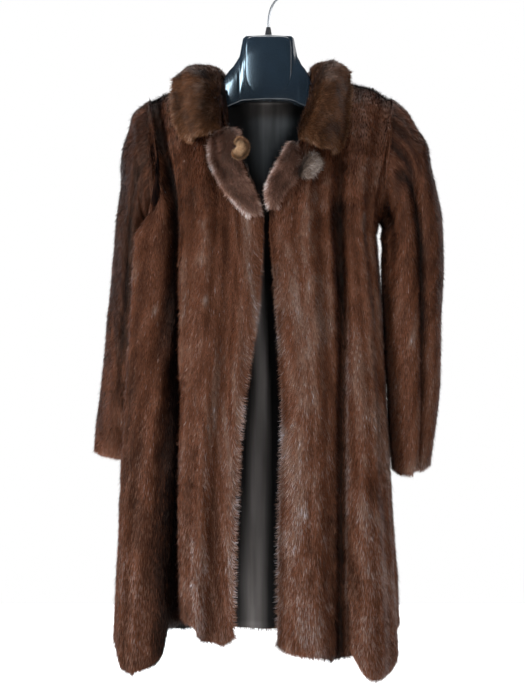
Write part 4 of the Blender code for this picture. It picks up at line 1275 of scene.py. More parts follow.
    def relief(self, share_grid: Grid) -> Grid:
        """The let-out strips' soft ridges, the sharp creases and the uneven lie of the skins."""
        phase = self.strip_phase()
        strip = np.abs((phase + 0.5) % 1.0 - 0.5)
        grooves = -0.7 * np.exp(-((strip / self.groove_width) ** 2)) - np.cos(2 * np.pi * phase)
        lumps = mottle(self.across, self.down, BODY_LUMPS)
        sharp = self.push(CREASES, self.places, self.levels, share_grid)
        return grooves + lumps * ease(self.down / 60) + sharp

    def strip_phase(self) -> Grid:
        """Where each point lies across its strip, in strips, with the strips fanning a little."""
        level_run = self.across[self.yoke_rows + self.skirt_rows // 3]
        middle = level_run[self.front_columns + self.back_columns // 2]
        wander = 2.5 * noise(self.across / 90, self.down / 260, 9)
        return (level_run[None] - middle + wander) / self.strip + 0.25

    def panel(self, first: int, last: int, name: str) -> tuple[Object, Bed]:
        """Makes one panel's skin and its bed of hair.

        Args:
            first: The panel's first column.
            last: Its last column.
            name: The skin's name.

        Returns:
            The skin and the bed.
        """
        columns = slice(first, last + 1)
        normal = self.normals[:, columns]
        down = self.down[:, columns]
        roll = rolled(down[-1] - down, self.hem_roll)[..., None]
        face = self.inside_armholes(self.points[:, columns] - normal * (self.skin_depth + roll), 1.5)
        side = unit(np.gradient(self.points, axis=1)[:, columns])
        face[:, 0] += side[:, 0] * (self.edge_in if first == 0 else SEAM_GAP)
        face[:, -1] -= side[:, -1] * (self.edge_in if last == self.points.shape[1] - 1 else SEAM_GAP)
        inner = self.inside_armholes(face - normal * np.maximum(self.skin_wall - roll, THIN_WALL), 2.0)
        skin = wall_mesh(name, face, inner, False)
        bed = self.bed(face, normal, columns)
        bed.weight = bed.weight * (1 + 0.6 * roll[..., 0] / self.hem_roll)
        front = columns.stop <= self.front_columns + 1 or columns.start > self.front_columns
        # Painted shade: the fronts' skin is painted darker over the yoke's upper part, where it shows under
        # the collar and at the armholes.
        above = 1 - ease((np.arange(len(down)) - self.yoke_rows + self.yoke_fade) / self.yoke_fade)[:, None]
        paint_tone(skin, bed.tone - self.tones.yoke_skin_shade * above * front)
        turned = TURNED_UNDER * roll / self.hem_roll
        bed.normals, bed.shading = unit(bed.normals + turned), unit(bed.shading + turned)
        return skin, bed

    def bed(self, face: Grid, normal: Grid, columns: slice) -> Bed:
        """The bed of hair over a panel, with its strips, its parted spots and its fuzzy front edges."""
        across, down = self.across[:, columns], self.down[:, columns]
        flow = unit(np.gradient(self.points, axis=0)[:, columns])
        side = unit(np.gradient(self.points, axis=1)[:, columns])
        total = self.across[:, [-1]]
        near_left, near_right = np.exp(-across / self.fuzz), np.exp(-(total - across) / self.fuzz)
        near_edge = (near_left + near_right) * ease((down - self.edge_starts) / self.edge_grows)
        flow = unit(flow + side * ((near_right - near_left) * 1.5)[..., None])
        tone, silver = self.colour(face, columns, near_edge)
        rng = np.random.default_rng(int(77 + columns.start))
        start, end, depth = float(across.min()), float(across.max()), float(down.max())
        spots = [
            (start + rng.random() * (end - start), 90 + rng.random() * (depth - 90), 2.5 + 4 * rng.random())
            for _ in range(self.spots)
        ]
        shown = hair_spots(across, down, spots)
        tone += self.tones.parting * shown
        near_hem = np.exp(-(down[-1] - down) / self.hem_reach)
        length = 1.0 - 0.35 * shown + 0.15 * near_hem + 0.30 * near_edge
        weight = np.ones_like(tone) + 2.0 * near_edge + 6.0 * near_hem
        return Bed(face, normal, flow, across, down, tone, weight, length, self.shading[:, columns], silver)

    def colour(self, face: Grid, columns: slice, near_edge: Grid) -> tuple[Grid, Grid]:
        """The tone of a panel's pile, with its painted shade, highlights and sheen, and the share of its
        hairs with a silver tip.

        Args:
            face: The panel's skin.
            columns: The panel's columns.
            near_edge: How near each point is to a front edge, from 0 to 1.

        Returns:
            The tone and the share.
        """
        tones, across, down = self.tones, self.across[:, columns], self.down[:, columns]
        place, level = self.places[:, columns], face[..., 2]
        phase, hollow = self.strip_phase()[:, columns], self.hollow[:, columns]
        strip = np.abs((phase + 0.5) % 1.0 - 0.5)
        each = lattice(np.floor(phase + 0.5), 0 * phase, 21)
        high = np.clip((-level - self.coat_top) / self.coat_length, 0, 1)
        low = ease((high - 0.5) / 0.4)
        drop = np.clip((YOKE_LEVEL - level) / (YOKE_LEVEL - BODY[-1].level), 0, 1)
        # Where the neckline lies under the collar, for painted shade.
        neck_shade_mask = np.exp(-down / tones.neck_reach) * (np.abs(place) < NECK_PLACE)
        # Each strip's own tone, and a paler pile lower down that is painted sheen.
        tone = tones.plain + tones.strip * each + tones.height * (high - 0.5)
        tone += mottle(across, down, BODY_MOTTLE)
        tone -= tones.groove * np.exp(-((strip / self.groove_width) ** 2))
        # Painted shade in the surface's hollows and a painted highlight on its crests.
        tone -= tones.hollow * ease(hollow / tones.hollow_depth)
        tone += tones.crest * np.clip(-hollow / tones.crest_height, 0, 1)
        # Painted shade in the folds' valleys, less of it near the top.
        high_up = ease((tones.valley_starts - down) / tones.valley_grows)
        tone -= (tones.valley_shade - tones.high_valley * high_up) * self.valley_shade[:, columns]
        tone += tones.edge * near_edge
        # Painted shade at the neckline, under the collar; the pile also darkens along the top seam.
        tone -= tones.neck * neck_shade_mask + tones.seam * np.exp(-down / tones.seam_reach)
        tone -= tones.left_side * ease((-place - 0.62) / 0.06) + tones.low * low
        patches = 0.7 + 0.6 * noise(across / 30, down / 60, 34)
        # More silver-tipped hairs lower down, in patches, are painted sheen; a few are silver everywhere,
        # more at the front edges.
        silver = (tones.silver_height * ease((high - 0.15) / 0.85) + tones.silver_low * low) * patches
        silver += tones.silver + tones.silver_edge * near_edge
        # Painted sheen: bands of paler, more silver-tipped pile down the folds' lit flanks.
        for painted_sheen in PAINTED_SHEENS:
            middle = painted_sheen.place + (painted_sheen.hem_place - painted_sheen.place) * drop
            band = np.exp(-(((place - middle) / painted_sheen.width) ** 2))
            band = band * ease((painted_sheen.top - level) / tones.painted_sheen_grows)
            tone += tones.painted_sheen * painted_sheen.gain * band
            silver += painted_sheen.gain * band
        return tone, np.clip(silver, 0, 0.8)


@dataclass
class Body:
    """The two fronts and the back: skins, pile and the satin that lines the back."""

    form: BodyForm
    fur: Material
    underfur: Material
    satin: Material
    inner_satin: Material
    front_hairs: int = 155_000
    back_hairs: int = 85_000
    pressed_line: float = 905.0

    def build(self) -> None:
        """Builds the panels and the lining."""
        form = self.form
        left = form.front_columns
        right = left + form.back_columns
        end = form.points.shape[1] - 1
        self.panel("front_left", 0, left, (("pile_front_left", self.front_hairs, 1),))
        self.panel("front_right", right, end, (("pile_front_right", self.front_hairs, 2),))
        halves = (("pile_back_left", self.back_hairs, 3), ("pile_back_right", self.back_hairs, 4))
        self.panel("coat_back", left, right, halves)
        self.lining()

    def panel(self, node: str, first: int, last: int, piles: Sequence[tuple[str, int, int]]) -> None:
        """Builds one panel.

        Args:
            node: The name that its two CAD nodes start with.
            first: Its first column.
            last: Its last column.
            piles: Name, number of hairs and seed of each pile, which share the panel side by side.
        """
        skin, bed = self.form.panel(first, last, f"skin_{node}")
        dress(skin, self.underfur, self.satin)
        hairs = []
        columns = bed.points.shape[1] - 1
        for number, (name, count, seed) in enumerate(piles):
            start, stop = number * columns // len(piles), (number + 1) * columns // len(piles)
            part = slice(start, stop + 1)
            share = Bed(*(getattr(bed, key)[:, part] for key in bed.__dataclass_fields__))
            hairs.append(Pile(name=name, count=count, seed=seed, overlap=7.0).grow(share))
        place_fur(skin, hairs, self.fur, "body_fur", f"{node}_top", f"{node}_skirt")

    def lining(self) -> None:
        """Builds the back's satin, with soft hanging creases and the pressed line above its hem."""
        form = self.form
        columns = slice(form.front_columns + 4, form.front_columns + form.back_columns - 3)
        deep = form.inside_armholes(form.points - form.normals * (FUR_WALL + 0.4), 2.0)
        across, down = form.across, form.down
        middle = across[:, [form.front_columns + form.back_columns // 2]]
        crease = mottle(across - middle, down, LINING_CREASES) * ease((down - 20) / 120)
        crease += 1.2 * np.exp(-(((down - self.pressed_line) / 5) ** 2))
        crease = np.clip(crease, 0.0, 4.0)
        face = (deep - form.normals * (1.0 + crease)[..., None])[1:, columns]
        wall = (deep - form.normals * 0.2)[1:, columns]
        for layer in (face, wall):
            layer[-2:, :, 2] += np.array([[0.5], [1.0]])
        cloth = wall_mesh("satin_back", wall, face, False)
        paint_tone(cloth, self.glow(face))
        dress(cloth, self.inner_satin, self.inner_satin)
        place_piece(cloth, "satin", "lining_back")

    def glow(self, face: Grid) -> Grid:
        """How light each point of the satin is: palest mid-opening, dark behind the fronts."""
        level = -face[..., 2]
        left, right, light = (
            np.interp(level, [-row.level for row in GLOWS], [getattr(row, key) for row in GLOWS])
            for key in ("left", "right", "light")
        )
        share = (face[..., 0] - left) / (right - left)
        band = ease((share - 0.14) / 0.36) * (1 - ease((share - 0.66) / 0.26))
        drape = mottle(face[..., 0], level, LINING_DRAPE)
        return np.clip(0.02 + light * band * (0.92 + drape), 0, 1)


# ---------------------------------------------------------------- sleeves


@dataclass
class Sleeve:
    """A set-in sleeve: its skin as a tube and its pile."""

    side: Side
    form: BodyForm
    fur: Material
    underfur: Material
    satin: Material
    tone: float
    hairs: int = 105_000
    rows: int = 84
    columns: int = 56
    girth: float = 330.0
    skin_depth: float = 2.6
    skin_wall: float = 5.0
    cuff_roll: float = 9.0
    seam_roll: float = 9.0
    strips: int = 9
    spots: int = 30
    narrow: float = 15.0
    crease_shade_tone: float = 0.04
    crease_half: float = 5.5
    cuff_tone: float = 0.14
    parting: float = 0.24

    def tube(self) -> tuple[Grid, Grid, Grid]:
        """The sleeve's surface at the pile's reach, its normals and its rows' shares of its length."""
        rings = SLEEVES[self.side]
        at = np.linspace(0, len(rings) - 1, self.rows + 1)
        outer_x, outer_z, inner_x, inner_z, depth, set_back = smooth_rows(np.array(rings, float), at).T
        outside = np.stack([outer_x, set_back, outer_z], -1)
        inside = np.stack([inner_x, set_back, inner_z], -1)
        angles = np.arange(self.columns) * 360 / self.columns
        turn = np.radians(angles)[None, :, None]
        middle, spread = ((outside + inside) / 2)[:, None], ((outside - inside) / 2)[:, None]
        forward = np.array([0.0, -1.0, 0.0]) * depth[:, None, None]
        tube = middle + np.cos(turn) * spread + np.sin(turn) * forward
        share = (at / at[-1])[:, None]
        push = np.zeros(tube.shape[:2])
        for fold in self.folds():
            away, grown = self.fold_run(fold, angles, share, 0.3)
            push += fold.depth * grown * np.exp(-((away / fold.width) ** 2))
        seed = 50 + self.side.value
        around = np.cos(np.radians(angles))[None] * 60, np.sin(np.radians(angles))[None] * 60
        lumps = noise(around[0] / 40 + share * 9, around[1] / 40 + share * 5, seed)
        folds = noise(around[0] / 60 + 3, share * 14 + around[1] / 90, seed + 1)
        push += (1.6 * lumps + 1.6 * folds) * ease(share / 0.12)
        push[0] = 0
        tube = tube + self.normals_of(tube) * push[..., None]
        normals = self.normals_of(tube)
        hole = ARMHOLES[self.side]
        for column, angle in enumerate(angles):
            normals[0, column] = self.form.armhole_normal(hole, -angle)
        normals[-1, :, 2] = 0
        return tube, unit(normals), share

    def painted_crease_shade(self, share: Grid) -> Grid:
        """The painted shade in the sleeve's narrow creases, on the closed ring of columns."""
        angles = np.arange(self.columns + 1) * 360 / self.columns
        shade = np.zeros((len(share), len(angles)))
        for fold in self.folds():
            if fold.width < self.narrow:
                away, grown = self.fold_run(fold, angles, share, 0.15)
                dark = self.crease_shade_tone * abs(fold.depth) * grown
                shade += dark * np.exp(-((away / self.crease_half) ** 2))
        return shade

    def folds(self) -> list[SleeveFold]:
        """This sleeve's folds."""
        return [fold for fold in SLEEVE_FOLDS if fold.side is self.side]

    def fold_run(self, fold: SleeveFold, angles: Grid, share: Grid, onset: float) -> tuple[Grid, Grid]:
        """Follows a fold down the sleeve.

        Args:
            fold: The fold.
            angles: The columns' angles.
            share: The rows' shares of the sleeve's length.
            onset: The share of the length that it takes to grow.

        Returns:
            How far round the sleeve each point lies from it, and how far it has grown there.
        """
        angle = fold.angle + (fold.cuff_angle - fold.angle) * share
        away = ((angles[None] - angle + 180) % 360 - 180) / 360 * self.girth
        return away, ease((share - fold.start) / onset) * (1 - ease((share - fold.end + 0.15) / 0.3))

    def normals_of(self, tube: Grid) -> Grid:
        """Outward normals of the tube."""
        around = (np.roll(tube, -1, axis=1) - np.roll(tube, 1, axis=1)) / 2
        return unit(np.cross(around, np.gradient(tube, axis=0))) * self.side.value

    def build(self) -> None:
        """Builds the skin and its pile."""
        name = self.side.name.lower()
        tube, normals, share = self.tube()
        down = run_lengths(tube, 0)
        roll = rolled(down[-1] - down, self.cuff_roll)[..., None]
        dip = 0.15 * rolled(down, self.seam_roll)[..., None]
        inner_side = (1 - np.cos(np.arange(self.columns) * 2 * np.pi / self.columns))[None] / 2
        close = (inner_side**3 * ease((0.75 - share) / 0.3))[..., None]
        face = tube - normals * (self.skin_depth * (1 - close) + roll + dip)
        face[0] += [self.side.value * SEAM_GAP, 0, 0]
        inner = face - normals * np.maximum(self.skin_wall - 0.7 * roll, THIN_WALL)
        outer_grid, inner_grid = face, inner
        if self.side is Side.LEFT:
            outer_grid, inner_grid = face[:, ::-1], inner[:, ::-1]
        skin = wall_mesh(f"skin_sleeve_{name}", outer_grid, inner_grid, True)
        dress(skin, self.underfur, self.satin)
        ring = joined(face)
        normals = unit(normals + TURNED_UNDER * roll / self.cuff_roll)
        flow = unit(np.gradient(joined(tube), axis=0))
        across, down = run_lengths(ring, 1), run_lengths(ring, 0)
        phase = across / across[:, -1:] * self.strips
        strip = np.abs((phase + 0.5) % 1.0 - 0.5)
        tone = self.tone + mottle(across, down, SLEEVE_MOTTLE) - 0.05 * np.exp(-((strip / 0.09) ** 2))
        tone += 0.12 * ease(down / 600) - 0.03 * np.exp(-down / 22)
        # A paler cuff edge, less the painted shade in the narrow creases.
        tone += self.cuff_tone * np.exp(-((share - 1) ** 2) / 0.0009) - self.painted_crease_shade(share)
        rng = np.random.default_rng(90 + self.side.value)
        spots = [
            (rng.random() * across.max(), 120 + rng.random() * 440, 3 + 4 * rng.random())
            for _ in range(self.spots)
        ]
        shown = hair_spots(across, down, spots)
        tone = tone + self.parting * shown
        single = tone[:, :-1]
        paint_tone(skin, single if self.side is Side.RIGHT else single[:, ::-1])
        thick = 1 + 5 * np.exp(-(down[-1] - down) / 6)
        bed = Bed(ring, joined(normals), flow, across, down, tone, thick, 1 - 0.35 * shown)
        pile = Pile(name=f"pile_sleeve_{name}", count=self.hairs, seed=6 + self.side.value, overlap=5.0)
        hair = pile.grow(bed)
        place_fur(skin, [hair], self.fur, "sleeve_fur", f"sleeve_{name}")


# ---------------------------------------------------------------- collar


@dataclass
class Collar:
    """The rolled collar: it stands at the neck, turns over its crest and falls on the shoulders."""

    tree: BVHTree
    fur: Material
    underfur: Material
    hairs: int = 64_800
    under_hairs: int = 25_200
    rows_per_station: int = 9
    half_columns: int = 14
    wall: float = 14.0
    pile_reach: float = 4.0
    lift: float = 3.0
    lobe_round: float = 16.0
    neck_round: float = 8.0
    settles: float = 50.0
    end_rows: int = 11
    edge_columns: int = 9
    edge_in: float = 5.0
    ends_in: float = 4.0
    neck_reach: float = 0.8
    roundness: float = 1.9
    lump_gloss: float = 3.0
    tone: float = 0.36
    rim_tone: float = 0.20
    rim_silver: float = 0.30
    under_shade: float = 0.22

    def middle(self) -> tuple[Grid, Grid]:
        """The collar's middle surface and its wall along it."""
        stations = np.array([[row.neck, row.crest, row.edge] for row in COLLAR], float)
        count = (len(COLLAR) - 1) * self.rows_per_station + 1
        at = np.linspace(0, len(COLLAR) - 1, count)
        line = smooth_rows(stations.reshape(len(COLLAR), -1), at).reshape(count, 3, 3)
        wall = np.interp(at, np.arange(len(COLLAR)), [row.wall for row in COLLAR]) * self.wall
        shares = np.linspace(0, 1, self.half_columns + 1)[:, None]
        rows = []
        for (neck, crest, edge), thick in zip(line, wall):
            out = unit(edge - neck)
            out[2] = 0
            fall, rise = np.linalg.norm(edge - crest), np.linalg.norm(crest - neck)
            stand = cubic(neck, np.array([0, 0, rise]), crest, out * rise, shares)
            turned = cubic(crest, out * fall * 0.9, edge, edge - crest, shares)
            row = np.concatenate([stand, turned[1:]])
            falling = row[len(shares) :]
            for column, (x, y, z) in enumerate(falling):
                hit = self.tree.ray_cast(Vector((x, -RAY, z)), Vector((0, 1, 0)), RAY)[0]
                if y < 0 and hit is not None:
                    share = ease((column + 1) / len(falling)) * ease(-y / self.settles)
                    falling[column, 1] += (hit.y - thick / 2 - self.lift - y) * share
            rows.append(row)
        return np.array(rows), wall

    def build(self) -> None:
        """Builds the skin and its pile."""
        middle, wall = self.middle()
        falling = middle[:, self.half_columns + 1 :]
        for _ in range(3):
            falling[1:-1] = (falling[:-2] + 2 * falling[1:-1] + falling[2:]) / 4
        normals = -surface_normals(middle)
        rows, columns = middle.shape[:2]
        across, down = run_lengths(middle, 1), run_lengths(middle, 0)
        inward = np.minimum(np.arange(columns), np.arange(columns)[::-1]) / (columns / 3)
        ends = np.minimum(np.arange(rows), np.arange(rows)[::-1]) / self.end_rows
        round_off = np.sqrt(np.clip(inward, 0.03, 1))[None] * np.sqrt(np.clip(ends, 0.05, 1))[:, None]
        half = np.maximum(wall[:, None] / 2 * round_off - self.pile_reach * 0.6, 0.8)
        plump = mottle(across, down, COLLAR_LUMPS)
        centre = middle.copy()
        pull = unit(np.gradient(middle, axis=1))
        near_edge = ease((np.arange(columns) - columns + self.edge_columns) / self.edge_columns)
        centre -= pull * (self.edge_in * near_edge)[None, :, None]
        along = np.minimum(down, down[-1:] - down)
        outer_half = ease((np.arange(columns) - self.half_columns) / self.half_columns)[None]
        centre -= pull * (rolled(along, self.lobe_round) * outer_half)[..., None]
        reach = self.half_columns * self.neck_reach
        inner_half = ease((reach - np.arange(columns)) / reach)[None]
        centre += pull * (rolled(along, self.neck_round) * inner_half)[..., None]
        way = np.sign(np.arange(rows) - rows / 2)[:, None, None]
        centre -= unit(np.gradient(middle, axis=0)) * (self.ends_in * (1 - ease(ends))[:, None, None] * way)
        front = centre + normals * (half + plump)[..., None]
        swollen = self.roundness * half + self.lump_gloss * plump
        shading = -surface_normals(centre + normals * swollen[..., None])
        under = centre - normals * half[..., None]
        skin = wall_mesh("skin_collar", front[:, ::-1], under[:, ::-1], False)
        dress(skin, self.underfur, self.underfur)
        flow = pull + 0.35 * np.array([0.0, 0.0, -1.0])
        end_push = (1 - ease(ends / 1.5))[:, None, None] * way
        flow = unit(flow + 0.8 * end_push * unit(np.gradient(middle, axis=0)))
        rim = np.maximum(np.exp(-(across[:, -1:] - across) / 5), np.exp(-ends * 2.4)[:, None])
        tone = self.tone + mottle(across, down, COLLAR_MOTTLE) + self.rim_tone * rim
        paint_tone(skin, tone[:, ::-1])
        ones = np.ones_like(tone)
        stand = 0.8 * (np.arange(columns) < self.half_columns)[None]
        silver = np.clip(0.02 + self.rim_silver * rim, 0, 0.6)
        top = Bed(front, normals, flow, across, down, tone, ones + rim, ones + 0.2 * rim, shading, silver)
        shaded = tone - self.under_shade
        below = Bed(under, -normals, flow, across, down, shaded, 0.15 + rim + stand, 0.8 * ones)
        over = Pile(
            "pile_collar", self.hairs, length=7.6, lean=27.0, splay=26.0, tone_grain=0.05, seed=12,
            clump=(7.0, 7.0),
        )
        beneath = Pile(
            "pile_collar_under", self.under_hairs, length=8.0, width=0.85, lean=16.0, lean_spread=7.0,
            splay=12.0, tone_grain=0.05, seed=13,
        )
        hairs = [over.grow(top), beneath.grow(below)]
        place_fur(skin, hairs, self.fur, "collar_fur", "collar")


# ---------------------------------------------------------------- facings, button and loop


def front_depth(tree: BVHTree, x: float, z: float) -> float:
    """The foremost Y of the fronts' surface around a point seen from the front."""
    found = []
    for side, up in ((0, 0), (-NEAR, 0), (NEAR, 0), (0, -NEAR), (0, NEAR)):
        hit = tree.ray_cast(Vector((x + side, -RAY, z + up)), Vector((0, 1, 0)), RAY)[0]
        if hit is not None:
            found.append(hit.y)
    return min(found) if found else tree.find_nearest(Vector((x, -BODY[0].front, z)))[0].y


@dataclass
class Facing:
    """A front's top corner, turned out so that its paler fur shows."""

    side: Side
    tree: BVHTree
    fur: Material
    underfur: Material
    hairs: int = 18_000
    rows: int = 26
    columns: int = 14
    wall: float = 9.0
    pile_reach: float = 4.0
    tone: float = 0.16
    edge_tone: float = 0.12
    # Painted light along the facing's left edge, the side the light falls on:
    lit_edge_tone: float = 0.26
    low_tone: float = 0.20
    edge_silver: float = 0.45
    low_silver: float = 0.50
    edge_share: float = 0.14
    lit_edge_share: float = 0.28
    low_reach: float = 16.0
    silver_reach: float = 30.0
    gap: float = 1.2
    thinnest: float = 0.6
    least_half: float = 3.0
    end_rows: int = 3

    def build(self) -> None:
        """Builds the skin and its pile."""
        side_name = self.side.name.lower()
        stations = np.array(FACINGS[self.side], float)
        lines = smooth_rows(stations, np.linspace(0, len(stations) - 1, self.rows + 1))
        shares = np.linspace(-1, 1, self.columns + 1)
        face, under = [], []
        for number, (level, middle, half_width) in enumerate(lines):
            end = min(number, self.rows - number) / self.end_rows
            inset = max(half_width - self.pile_reach, self.least_half)
            for share in shares:
                crown = math.sqrt(1 - 0.88 * share * share) * math.sqrt(min(1.0, max(end, 0.12)))
                x = middle + inset * share
                y = front_depth(self.tree, x, level) - self.gap
                under.append((x, y, level))
                face.append((x, y - self.thinnest - (self.wall - self.pile_reach) * crown, level))
        shape = (self.rows + 1, self.columns + 1, 3)
        front, back = np.array(face).reshape(shape), np.array(under).reshape(shape)
        for _ in range(2):
            for grid in (front, back):
                grid[1:-1, :, 1] = (grid[:-2, :, 1] + 2 * grid[1:-1, :, 1] + grid[2:, :, 1]) / 4
        skin = wall_mesh(f"skin_facing_{side_name}", front[:, ::-1], back[:, ::-1], False)
        dress(skin, self.underfur, self.underfur)
        normals = -surface_normals(front)
        normals = np.where(normals[..., 1:2] > 0, -normals, normals)
        across, down = run_lengths(front, 1), run_lengths(front, 0)
        outward = unit(np.gradient(front, axis=1)) * (shares[None, :, None] ** 3)
        flow = unit(unit(np.gradient(front, axis=0)) + outward * 0.9)
        edge = np.exp((np.abs(shares[None]) - 1) / self.edge_share)
        low = np.exp((down - down[-1:]) / self.low_reach)
        tone = self.tone + mottle(across, down, FACING_MOTTLE) + self.edge_tone * edge
        # Painted light along the left edge, the side the light falls on, and a paler foot.
        tone += self.lit_edge_tone * np.exp(-(1 + shares[None]) / self.lit_edge_share) + self.low_tone * low
        lower = np.exp((down - down[-1:]) / self.silver_reach)
        silver = np.clip(0.04 + self.edge_silver * edge + self.low_silver * lower, 0, 0.8)
        paint_tone(skin, tone[:, ::-1])
        ones = np.ones_like(tone)
        length = ones + 0.35 * edge + 0.25 * low
        bed = Bed(front, normals, flow, across, down, tone, ones + 2.5 * edge, length, silver=silver)
        pile = Pile(
            f"pile_facing_{side_name}", self.hairs, length=8.5, lean=30.0, lean_spread=14.0, splay=24.0,
            tone_grain=0.07, seed=15 + self.side.value, clump=(5.0, 6.0), overlap=5.0,
        )
        hair = pile.grow(bed)
        place_fur(skin, [hair], self.fur, "facing_fur", f"facing_{side_name}")


@dataclass
class Button:
    """The ball button: a strip of curly fur rolled into a ring on a small core."""

    fur: Material
    underfur: Material
    centre: Triple = (-46.0, -138.0, -317.0)
    ring_radius: float = 5.4
    ring_height: float = 6.6
    roll: float = 8.2
    start: float = -168.0
    sweep: float = 300.0
    steps: int = 40
    sides: int = 16
    wall: float = 1.2
    hairs: int = 9_000

    def build(self) -> None:
        """Builds the rolled strip and its curls."""
        along = np.radians(self.start + np.linspace(0, self.sweep, self.steps + 1))
        around = np.radians(np.arange(self.sides + 1) * 360 / self.sides)
        share = np.linspace(0, 1, self.steps + 1)
        thick = self.roll * np.sqrt(np.clip(np.minimum(share, 1 - share) * 9, 0.15, 1))
        out = np.stack([np.cos(along), 0 * along, np.sin(along)], -1)
        bow = [0, -2.5, 0] * np.sin(share * math.pi)[:, None]
        spine = out * [self.ring_radius, 1, self.ring_height] + bow
        forward = np.array([0.0, -1.0, 0.0])
        normals = out[:, None] * np.cos(around)[None, :, None] + forward * np.sin(around)[None, :, None]
        points = spine[:, None] + normals * thick[:, None, None] + np.array(self.centre)
        skin = wall_mesh("button_roll", points[:, :-1], points[:, :-1] - normals[:, :-1] * self.wall, True)
        recalculate(skin)
        dress(skin, self.underfur, self.underfur)
        across, down = run_lengths(points, 1), run_lengths(points, 0)
        twist = unit(np.gradient(points, axis=1) + 0.6 * np.gradient(points, axis=0))
        # Painted light: the ball is painted paler on its left, the side the light falls on.
        tone = 0.50 + 0.18 * noise(across / 5, down / 5, 91) - 0.10 * normals[..., 0]
        paint_tone(skin, tone[:, :-1])
        ones = np.ones_like(tone)
        bed = Bed(points, normals, twist, across, down, tone, ones, ones)
        pile = Pile(
            "pile_button", self.hairs, length=5.0, width=0.55, lean=36.0, lean_spread=14.0, splay=34.0,
            tone_grain=0.08, seed=23, clump=(2.5, 2.5), normal_spread=0.3,
        )
        place_fur(skin, [pile.grow(bed)], self.fur, "button_fur", "button_ball")


@dataclass
class LoopTab:
    """The fur-covered loop tab, whose long hairs stand out to the right."""

    fur: Material
    underfur: Material
    centre: Triple = (61.0, -116.0, -340.0)
    size: Triple = (5.5, 4.5, 18.0)
    tilt: float = 32.0
    rings: int = 16
    sides: int = 20
    pole: float = 0.12
    wall: float = 1.5
    hairs: int = 4_000

    def build(self) -> None:
        """Builds the tab's core and its hairs."""
        high = np.linspace(self.pole, math.pi - self.pole, self.rings + 1)
        round_it = np.radians(np.arange(self.sides + 1) * 360 / self.sides)
        wide, tall = np.sin(high)[:, None], np.cos(high)[:, None]
        ball = np.stack([wide * np.cos(round_it), wide * np.sin(round_it), tall + 0 * round_it], -1)
        cos, sin = math.cos(math.radians(self.tilt)), math.sin(math.radians(self.tilt))
        swing = np.array([[cos, 0, sin], [0, 1, 0], [-sin, 0, cos]])
        points = (ball * self.size) @ swing.T + np.array(self.centre)
        normals = unit((ball / self.size) @ swing.T)
        skin = wall_mesh("loop_tab_core", points[:, :-1], points[:, :-1] - normals[:, :-1] * self.wall, True)
        recalculate(skin)
        dress(skin, self.underfur, self.underfur)
        across, down = run_lengths(points, 1), run_lengths(points, 0)
        flow = unit(np.broadcast_to(np.array([0.9, -0.15, -0.3]), points.shape) + 0.5 * normals)
        tone = 0.42 + 0.22 * ball[..., 0] + 0.12 * noise(across / 5, down / 7, 95)
        paint_tone(skin, tone[:, :-1])
        ones = np.ones_like(tone)
        weight = np.where(normals[..., 1] > 0.5, 0.1, 1.0)
        bed = Bed(points, normals, flow, across, down, tone, weight, ones + 0.25 * ball[..., 0])
        pile = Pile(
            "pile_loop_tab", self.hairs, length=14.0, width=0.9, lean=30.0, lean_spread=16.0, splay=30.0,
            tone_grain=0.20, seed=27, clump=(2.5, 4.0),
        )
        place_fur(skin, [pile.grow(bed)], self.fur, "tab_fur", "loop_tab")


def recalculate(thing: Object) -> None:
    """Turns the faces of a closed shell outwards, its inner wall inwards to the hollow."""
    work = bmesh.new()
    work.from_mesh(thing.data)
    bmesh.ops.recalc_face_normals(work, faces=work.faces)
    work.to_mesh(thing.data)
    work.free()


# ---------------------------------------------------------------- hanger


def deselect_all() -> None:
    """Leaves edit mode and deselects every object."""
    if bpy.context.object is not None and bpy.context.object.mode != "OBJECT":
        bpy.ops.object.mode_set(mode="OBJECT")
    bpy.ops.object.select_all(action="DESELECT")


def apply_bevel(thing: Object, width: float, segments: int, angle: float) -> None:
    """Rounds an object's edges that are sharper than an angle, in millimetres and degrees."""
    bevel = thing.modifiers.new("rounded edges", "BEVEL")
    bevel.width = width * MM
    bevel.segments = segments
    bevel.limit_method = "ANGLE"
    bevel.angle_limit = math.radians(angle)
    bevel.harden_normals = False
    bpy.ops.object.modifier_apply(modifier=bevel.name)


